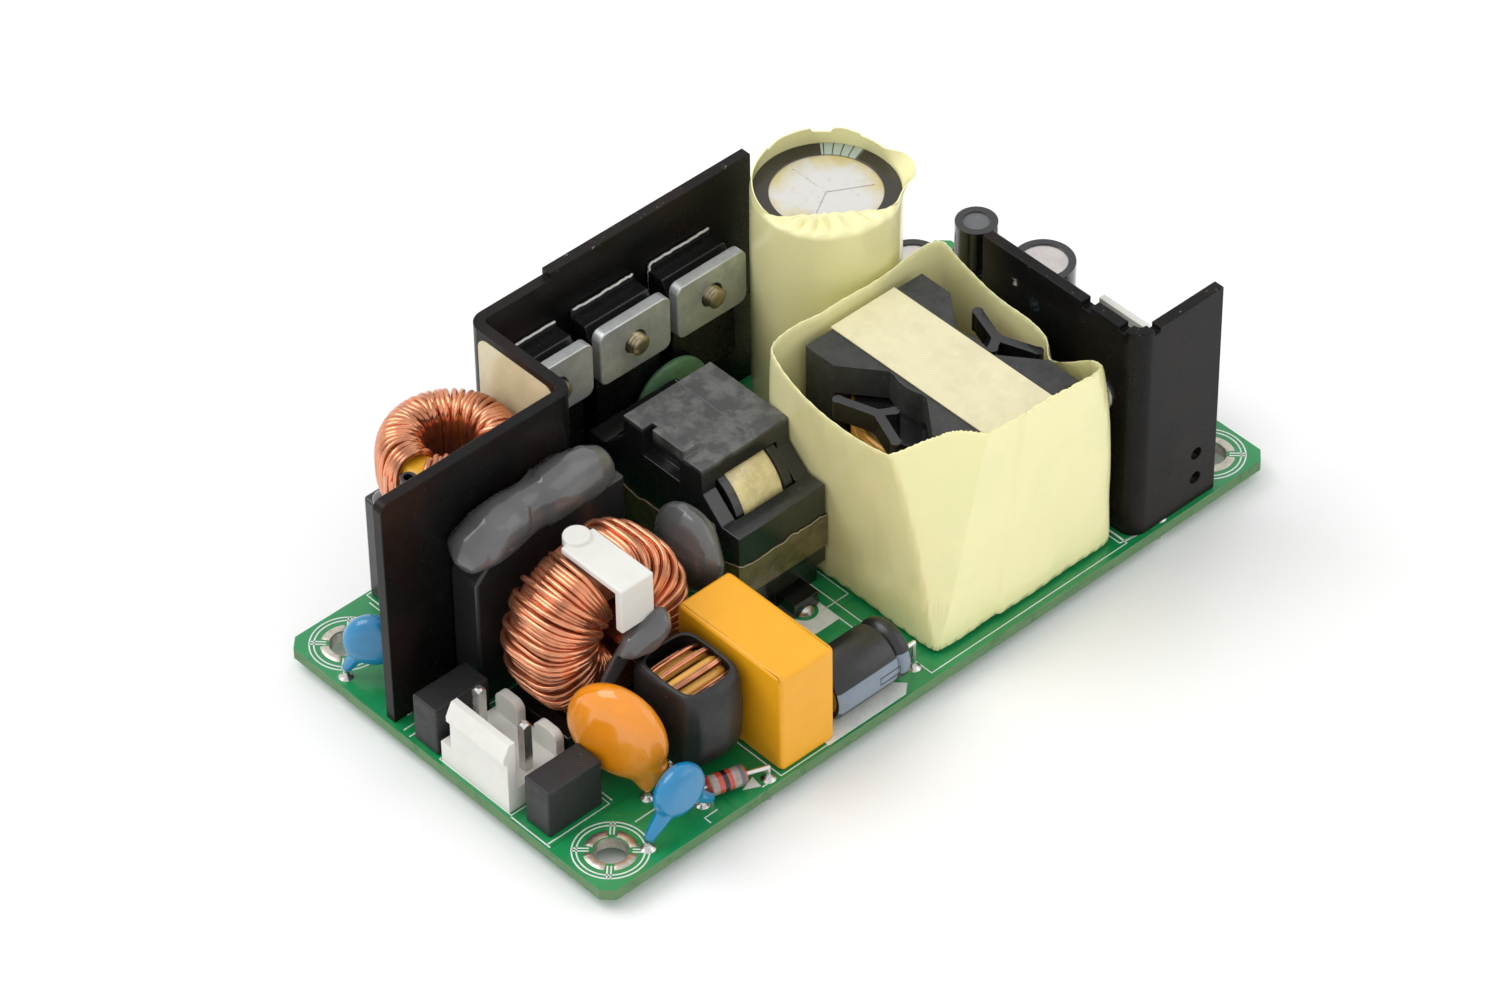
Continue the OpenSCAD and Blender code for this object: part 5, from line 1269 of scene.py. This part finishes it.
class SUPPLY_OT_rear_toroid(Piece, Operator):
    """Rear toroid: bare yellow core showing where the turns are thin, and a sleeved lead"""
    bl_idname = "supply.rear_toroid"
    bl_label = "Rear Toroid"

    GAP_AT, GAP_HALF = math.radians(188), math.radians(17)
    HOLE = 2.35
    STEPS = 30

    def make(self, look):
        low, high = node_box("rear_toroid_winding")
        c, outer, half_depth = (low + high) / 2, (high.x - low.x) / 2, (high.z - low.z) / 2
        wire = look.rear_wire / MM
        path = [place(c.x + radius * math.cos(a), c.y + radius * math.sin(a), c.z + depth)
                for a, radius, depth in self.turns(outer, half_depth, look.rear_turns, wire)]
        wires("rear_toroid_wire", [path], wire, "copper_wire", "copper_wire", ("rear_toroid_winding",))
        polished("rear_toroid_core", 0)
        polished("rear_toroid_lead_sleeve", 0.1, 1)
        leads = []
        for k, a in enumerate((math.radians(172), math.radians(180))):
            x, y = c.x + outer * math.cos(a), c.y + outer * math.sin(a)
            foot_y = y - 0.3 + k * 0.8
            leads.append([place(x + 0.35, y, c.z + half_depth * 0.4), place(x + 0.15, y, c.z),
                          place(x + 0.1, y - 0.2, c.z - half_depth),
                          place(x + 0.4, foot_y, 12.0), place(x + 0.9, foot_y, 1.0)])
        wires("rear_toroid_leads", leads, wire, "copper_wire", "copper_wire")

    def turns(self, outer, half_depth, turns, wire):
        """Close turns round the whole ring, and three wide ones across the gap."""
        rng = random.Random(6)
        stops = [self.GAP_AT + self.GAP_HALF + (2 * math.pi - 2 * self.GAP_HALF) * k / turns
                 + rng.uniform(-0.02, 0.02) for k in range(turns + 1)]
        stops += [self.GAP_AT + 2 * math.pi - self.GAP_HALF * f for f in (0.68, 0.36, 0.02)]
        bites = [(k % 3) * 0.7 + rng.uniform(0, 0.2) for k in range(len(stops))]
        return ring_turns(stops, [0] * len(stops), bites, (outer, self.HOLE + wire / 2, half_depth), wire,
                          0.68, self.STEPS, lambda share, loop, t: (share, 0.03 * math.sin(2 * loop + t)))


class SUPPLY_OT_sleeved_toroid(Piece, Operator):
    """Toroid in a shrunk black sleeve whose mouth shows bundles of two colours"""
    bl_idname = "supply.sleeved_toroid"
    bl_label = "Sleeved Toroid"

    BUNDLES, THICK, THIN, HOLE = 16, 1.3, 0.44, 1.7
    STEPS = 32

    def make(self, look):
        thick = self.loops(self.THICK, (0.0,))
        thin = self.loops(self.THIN, (0.43, 0.57))
        wires("sleeved_toroid_amber", thick, self.THICK, "amber_wire", "amber_wire",
              ("sleeved_toroid_winding",), closed=True)
        wires("sleeved_toroid_copper", thin, self.THIN, "copper_wire", "copper_wire", closed=True)
        self.sleeve()

    def loops(self, wire, shares):
        """Closed loops of one wire, at these shares of the way from bundle to bundle."""
        low, high = node_box("sleeved_toroid_winding")
        c, outer, half_depth = (low + high) / 2, (high.z - low.z) / 2, (high.x - low.x) / 2
        made = []
        for at in (t + share for t in range(self.BUNDLES) for share in shares):
            points = []
            for k in range(self.STEPS):
                loop = 2 * math.pi * k / self.STEPS
                a = at * (2 * math.pi / self.BUNDLES) + 0.08 * math.sin(loop)
                reach = (outer + self.HOLE - wire) / 2 \
                    + (outer - self.HOLE - wire) / 2 * boxy(math.sin(loop), 0.6)
                y, z = reach * boxy(math.cos(a), 0.86), reach * boxy(math.sin(a), 0.86) * 1.2
                across = (half_depth - wire / 2) * boxy(math.cos(loop), 0.5)
                across *= 0.94 + 0.3 * step_between(z, 2.6, 5.0)
                points.append(place(c.x + across, c.y + y, c.z + z))
            made.append(points)
        return made

    def sleeve(self):
        """The shrunk sleeve: rounded, barrelled between mouth and foot, with faint bands."""
        mesh = rounded("toroid_shrink_sleeve")
        low, high = node_box("toroid_shrink_sleeve")
        c, half = (low + high) / 2, (high - low) / 2
        for v in mesh.vertices:
            p = (v.co - CORNER) / MM - c
            wide, narrow = sorted((abs(p.x) / half.x, abs(p.y) / half.y), reverse=True)
            barrel = math.sqrt(max(0.0, 1 - (p.z / half.z) ** 2))
            swell = 0.075 * (1 - 2 * narrow / max(wide, 0.01)) * barrel
            if wide > 0.45:
                v.co += Vector((p.x, p.y, 0)) * swell * MM
        ripple(mesh, 3.2, 0.1, (0.35, 0.35, 1.6), 3.0)
        stand_smooth("toroid_shrunk_sleeve", mesh, "toroid_shrink_sleeve", "shrunk_rubber")


class SUPPLY_OT_film_capacitors(Piece, Operator):
    """Two black box capacitors and the orange one"""
    bl_idname = "supply.film_capacitors"
    bl_label = "Film Capacitors"
    polish = (("rear_film_capacitor", 0.35, 3), ("front_film_capacitor", 0.35, 3),
              ("orange_film_capacitor", 0.5, 4))


def domed(mesh, crown):
    """Swells both faces of the varistor's disc, which stands a little turned on its leads."""
    low, high = node_box("varistor")
    turn = math.radians(17)
    axis = Vector((math.cos(turn), math.sin(turn), 0))
    radius = (high.y - low.y) / 2 / math.cos(turn)
    c = Vector(((low.x + high.x) / 2, (low.y + high.y) / 2, high.z - radius))
    for v in mesh.vertices:
        p = (v.co - CORNER) / MM - c
        off = p.dot(axis)
        near = 1 - (p - axis * off).length_squared / radius ** 2
        if near > 0:
            v.co += axis * math.copysign(crown * near * min(1, abs(off)), off) * MM


class SUPPLY_OT_discs(Piece, Operator):
    """Dipped discs: varistor, safety capacitors and thermistor"""
    bl_idname = "supply.discs"
    bl_label = "Dipped Discs"

    def make(self, look):
        foot = place(13.9, 8.6, 0.9)
        mesh = dipped("varistor", 0.24, 28, ((foot, 0.5, place(14.3, 7.3, 6.4), 1.5),
                                             (foot, 0.5, place(13.3, 10.4, 5.2), 1.7)))
        domed(mesh, 0.5)
        ripple(mesh, 4.5, 0.08, seed=1)
        stand_smooth("varistor_skin", mesh, "varistor")
        for node, seed in (("y_capacitor_front", 2), ("y_capacitor_rear", 3), ("inrush_thermistor", 4)):
            mesh = dipped(node, 0.2, 14)
            ripple(mesh, 2.6, 0.07, seed=seed)
            stand_smooth(node + "_skin", mesh, node)


class SUPPLY_OT_lying_parts(Piece, Operator):
    """Glass arrester with end bands and the small capacitor that lies on the board"""
    bl_idname = "supply.lying_parts"
    bl_label = "Lying Parts"

    # Where each band of the arrester ends, as a share of its length, and what it is
    BANDS = ((0.06, "red_glass"), (0.24, "clear_glass"), (0.38, "red_glass"), (0.5, "bobbin_plastic"),
             (0.62, "red_glass"), (0.8, "clear_glass"), (0.92, "drum_grey"), (1.0, "red_glass"))

    def make(self, look):
        self.arrester()
        self.capacitor()

    def arrester(self):
        low, high = node_box("surge_arrester")
        z, r = ((low + high) / 2).z, (high.z - low.z) / 2
        start, end = place(low.x + 0.2, 3.75, z), place(high.x - 0.2, 2.35, z)
        length = (end - start).length / MM
        rows = [(0, 0), (r * 0.7, 0), (r * 0.96, 0.25)]
        stops = [0.0] + [stop for stop, kind in self.BANDS]
        for begin, stop in zip(stops, stops[1:]):
            rows += [(r, max(begin * length, 0.4)), (r, min(stop * length, length - 0.4))]
        rows += [(r * 0.96, length - 0.25), (r * 0.7, length), (0, length)]
        mesh = to_mesh(spun(rows, steps=28), "banded_arrester", 50)
        kinds = list(dict.fromkeys(kind for stop, kind in self.BANDS))
        for kind in kinds:
            mesh.materials.append(FINISH[kind])
        for face in mesh.polygons:
            share = face.center.z / MM / length
            band = next((kind for stop, kind in self.BANDS if share <= stop), kinds[0])
            face.material_index = kinds.index(band)
        mesh.transform(Matrix.Translation(start) @ upright_to(end - start))
        stand("banded_arrester", mesh, "arrester_glass", ("surge_arrester",))

    def capacitor(self):
        low, high = node_box("lying_capacitor")
        c, r, length = (low + high) / 2, (high.z - low.z) / 2, high.x - low.x
        start = place(low.x, c.y, c.z)
        rows = [(0, 0.35), (r - 1.0, 0.35), (r - 0.9, 0.1), (r - 0.35, 0), (r, 0.45), (r, length - 2.6),
                (r - 0.12, length - 2.3), (r - 0.55, length - 1.9), (r - 0.12, length - 1.5),
                (r, length - 1.2), (r, length - 0.45), (r - 0.35, length), (r - 1.0, length - 0.05),
                (r - 1.1, length - 0.5), (0, length - 0.5)]
        mesh = to_mesh(spun(rows, start, "X", 56), "lying_can", 50)
        for kind in ("black_sleeve", "sleeve_stripe", "capacitor_can"):
            mesh.materials.append(FINISH[kind])
        stripe, bare = 1, 2
        for face in mesh.polygons:
            away = face.center - start
            turn = math.degrees(math.atan2(away.z, -away.y))
            radius = math.hypot(away.y, away.z) / MM
            if abs(turn - 2) < 21 and radius > r - 0.75 and 0.2 * MM < away.x < (length - 0.3) * MM:
                face.material_index = stripe
            if radius < r - 1.05:
                face.material_index = bare
        stand("lying_can", mesh, "black_sleeve", ("lying_capacitor",))
        outline = []
        for down, share in ((8, 0.55), (8, 0.82), (-6, 0.82), (-6, 0.55)):
            a = math.radians(180 - down)
            outline.append(place(low.x + length * share, c.y + (r + 0.02) * math.cos(a),
                                 c.z + (r + 0.02) * math.sin(a)))
        wires("minus_mark", [outline], 0.12, "bobbin_plastic", "black_sleeve", sides=5, closed=True)


class SUPPLY_OT_fuses(Piece, Operator):
    """Two black box fuses"""
    bl_idname = "supply.fuses"
    bl_label = "Fuses"
    polish = (("input_fuses", 0.3, 3),)


class SUPPLY_OT_headers(Piece, Operator):
    """White headers and their tinned pins"""
    bl_idname = "supply.headers"
    bl_label = "Headers"
    polish = (("input_header", 0.25, 3), ("output_header", 0.25, 3),
              ("input_header_pins", 0.12, 2, "pin_tin"), ("output_header_pins", 0.12, 2, "pin_tin"))


class SUPPLY_OT_output_parts(Piece, Operator):
    """Output capacitors and drum inductor with their sleeves"""
    bl_idname = "supply.output_parts"
    bl_label = "Output Parts"
    polish = (("output_capacitors", 0.2, 2, "small_can"),
              ("output_capacitor_sleeves", 0.3, 3, "glossy_sleeve"),
              ("drum_inductor", 0.25, 2, "drum_grey"), ("drum_inductor_sleeve", 0.3, 3, "glossy_sleeve"))


class SUPPLY_OT_sealant(Piece, Operator):
    """Grey sealant squeezed between tall parts"""
    bl_idname = "supply.sealant"
    bl_label = "Sealant"

    # Ridges, and creases where the height is below 0: both ends, height and width
    FOLDS = (
        ((12.4, 33.2, 25.6), (18.2, 35.0, 27.0), 0.42, 0.42),
        ((18.2, 35.0, 27.0), (22.2, 37.0, 26.6), 0.3, 0.4),
        ((16.2, 34.2, 27.0), (17.6, 32.6, 26.4), 0.3, 0.42),
        ((17.6, 32.6, 26.4), (17.2, 31.6, 24.6), 0.26, 0.5),
        ((14.6, 32.4, 25.8), (13.4, 31.8, 24.4), 0.22, 0.4),
        ((12.2, 32.6, 25.0), (11.6, 31.9, 23.4), -0.2, 0.5),
        ((23.0, 37.2, 26.6), (25.0, 35.4, 27.2), -0.22, 0.4),
        ((25.0, 37.2, 26.8), (27.4, 36.4, 27.0), -0.2, 0.5),
        ((28.6, 36.6, 26.4), (30.6, 34.6, 25.6), -0.16, 0.6),
        ((16.4, 16.3, 12.4), (20.4, 15.4, 15.6), 0.26, 0.4),
        ((16.0, 16.0, 11.2), (19.0, 15.0, 13.8), -0.26, 0.35),
        ((19.0, 17.6, 16.0), (22.4, 16.6, 18.2), 0.2, 0.5),
        ((38.0, 23.6, 17.0), (38.6, 26.4, 12.6), 0.32, 0.45),
        ((37.4, 22.2, 18.0), (36.6, 25.4, 19.6), -0.2, 0.5),
        ((38.4, 27.4, 17.4), (38.8, 28.4, 12.0), -0.24, 0.45))
    STRENGTH = 1.25
    ROUNDS = 2

    def make(self, look):
        mesh = dipped("sealant_beads", 0.3, 10)
        ripple(mesh, 4.6, 0.34, seed=2)
        self.squeeze(mesh)
        stand_smooth("sealant_beads_skin", mesh, "sealant_beads")

    def squeeze(self, mesh):
        """Folds the beads, laps the long one over itself and keeps it behind the heat sink's plane."""
        sink = node_box("primary_heatsink")[0].y
        moved = []
        for v in mesh.vertices:
            p = (v.co - CORNER) / MM
            push = 0.0
            for start, end, height, width in self.FOLDS:
                a, b = Vector(start), Vector(end)
                share = min(1.0, max(0.0, (p - a).dot(b - a) / (b - a).length_squared))
                away = (p - a.lerp(b, share)).length
                push += self.STRENGTH * height * math.exp(-(away / width) ** 2)
            if p.y > 30 and p.x < 34 and p.z > 21:
                lap = p.x - 20.9 - 0.28 * (p.y - 33)
                push += 0.34 * step_between(lap, -0.15, 0.15) * (1 - step_between(lap, 0.5, 6.5))
            sunk = 0.45 * (1 - step_between(sink - p.y, 0.1, 0.7)) if p.z > 20 else 0
            moved.append(v.co + (v.normal * push + Vector((0, sunk, 0))) * MM)
        for v, co in zip(mesh.vertices, moved):
            v.co = co
        bm = bmesh.new()
        bm.from_mesh(mesh)
        for _ in range(self.ROUNDS):
            bmesh.ops.smooth_vert(bm, verts=bm.verts, factor=0.5,
                                  use_axis_x=True, use_axis_y=True, use_axis_z=True)
        bm.to_mesh(mesh)
        bm.free()


class SUPPLY_OT_leads(Piece, Operator):
    """Bare leads and the chips under the board"""
    bl_idname = "supply.leads"
    bl_label = "Leads and Chips"
    polish = (("component_leads", 0, 2, "pin_tin"), ("underside_chips", 0.12))

    def make(self, look):
        refinished("sleeved_toroid_core", "ferrite")


class SUPPLY_OT_stage(Piece, Operator):
    """Pale floor, soft studio light and the camera"""
    bl_idname = "supply.stage"
    bl_label = "Stage"

    FLOOR_HALF = 4
    EYE_AT = Vector((-373.467, -406.531, 519.06)) * MM
    EYE_TURN = (47.2824, 0.6395, -42.7425)
    LENS, SENSOR = 151.4, 36

    def make(self, look):
        scene = bpy.context.scene
        self.floor()
        scene.camera = self.camera()
        for name, at, size, power in (("key_light", (-0.25, 0.28, 0.5), 0.42, look.key_power),
                                      ("fill_light", (0.42, -0.42, 0.36), 0.5, look.fill_power)):
            light = bpy.data.lights.new(name, "AREA")
            light.size = size
            light.energy = power
            lamp = into_scene(name, light)
            lamp.location = at
            lamp.rotation_euler = (Vector((0, 0, 0.01)) - Vector(at)).to_track_quat("-Z", "Y").to_euler()
        world = bpy.data.worlds.new("studio")
        world.use_nodes = True
        background = world.node_tree.nodes["Background"]
        background.inputs["Color"].default_value = (1, 1, 1, 1)
        background.inputs["Strength"].default_value = look.sky
        scene.world = world
        scene.view_settings.view_transform = "Standard"

    def floor(self):
        half, z = self.FLOOR_HALF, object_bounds()[0].z - 0.05 * MM
        bm = bmesh.new()
        bm.faces.new([bm.verts.new((x, y, z)) for x, y in (
            (-half, -half), (half, -half), (half, half), (-half, half))])
        mesh = bpy.data.meshes.new("floor")
        bm.to_mesh(mesh)
        bm.free()
        floor = into_scene("floor", mesh)
        mesh.materials.append(Surface("floor_paper", (0.9, 0.9, 0.9), 0.7).done())
        floor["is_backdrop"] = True

    def camera(self):
        camera = bpy.data.cameras.new("camera")
        camera.sensor_width = self.SENSOR
        camera.lens = self.LENS
        camera.clip_start = 0.01
        eye = into_scene("camera", camera)
        eye.location = self.EYE_AT
        eye.rotation_euler = Euler([math.radians(a) for a in self.EYE_TURN])
        return eye


class SUPPLY_PT_panel(Panel):
    bl_idname = "SUPPLY_PT_panel"
    bl_label = "Power Supply"
    bl_space_type = "VIEW_3D"
    bl_region_type = "UI"
    bl_category = "Power Supply"

    def draw(self, context):
        look = context.scene.supply_look
        column = self.layout.column()
        for name in look.__annotations__:
            column.prop(look, name)
        for made in OPERATORS:
            column.operator(made.bl_idname)


OPERATORS = (
    SUPPLY_OT_finishes, SUPPLY_OT_board, SUPPLY_OT_hole_pads, SUPPLY_OT_silk, SUPPLY_OT_solder,
    SUPPLY_OT_primary_heatsink, SUPPLY_OT_transistors, SUPPLY_OT_secondary_heatsink,
    SUPPLY_OT_bulk_capacitor, SUPPLY_OT_transformer, SUPPLY_OT_boost_choke, SUPPLY_OT_filter_choke,
    SUPPLY_OT_rear_toroid, SUPPLY_OT_sleeved_toroid, SUPPLY_OT_film_capacitors, SUPPLY_OT_discs,
    SUPPLY_OT_lying_parts, SUPPLY_OT_fuses, SUPPLY_OT_headers, SUPPLY_OT_output_parts,
    SUPPLY_OT_sealant, SUPPLY_OT_leads, SUPPLY_OT_stage)
CLASSES = (SupplyLook, *OPERATORS, SUPPLY_PT_panel)


def register():
    for cls in CLASSES:
        bpy.utils.register_class(cls)
    bpy.types.Scene.supply_look = PointerProperty(type=SupplyLook)


def unregister():
    del bpy.types.Scene.supply_look
    for cls in reversed(CLASSES):
        bpy.utils.unregister_class(cls)


def main():
    register()
    for made in OPERATORS:
        group, name = made.bl_idname.split(".")
        getattr(getattr(bpy.ops, group), name)()


if __name__ == "__main__":
    main()
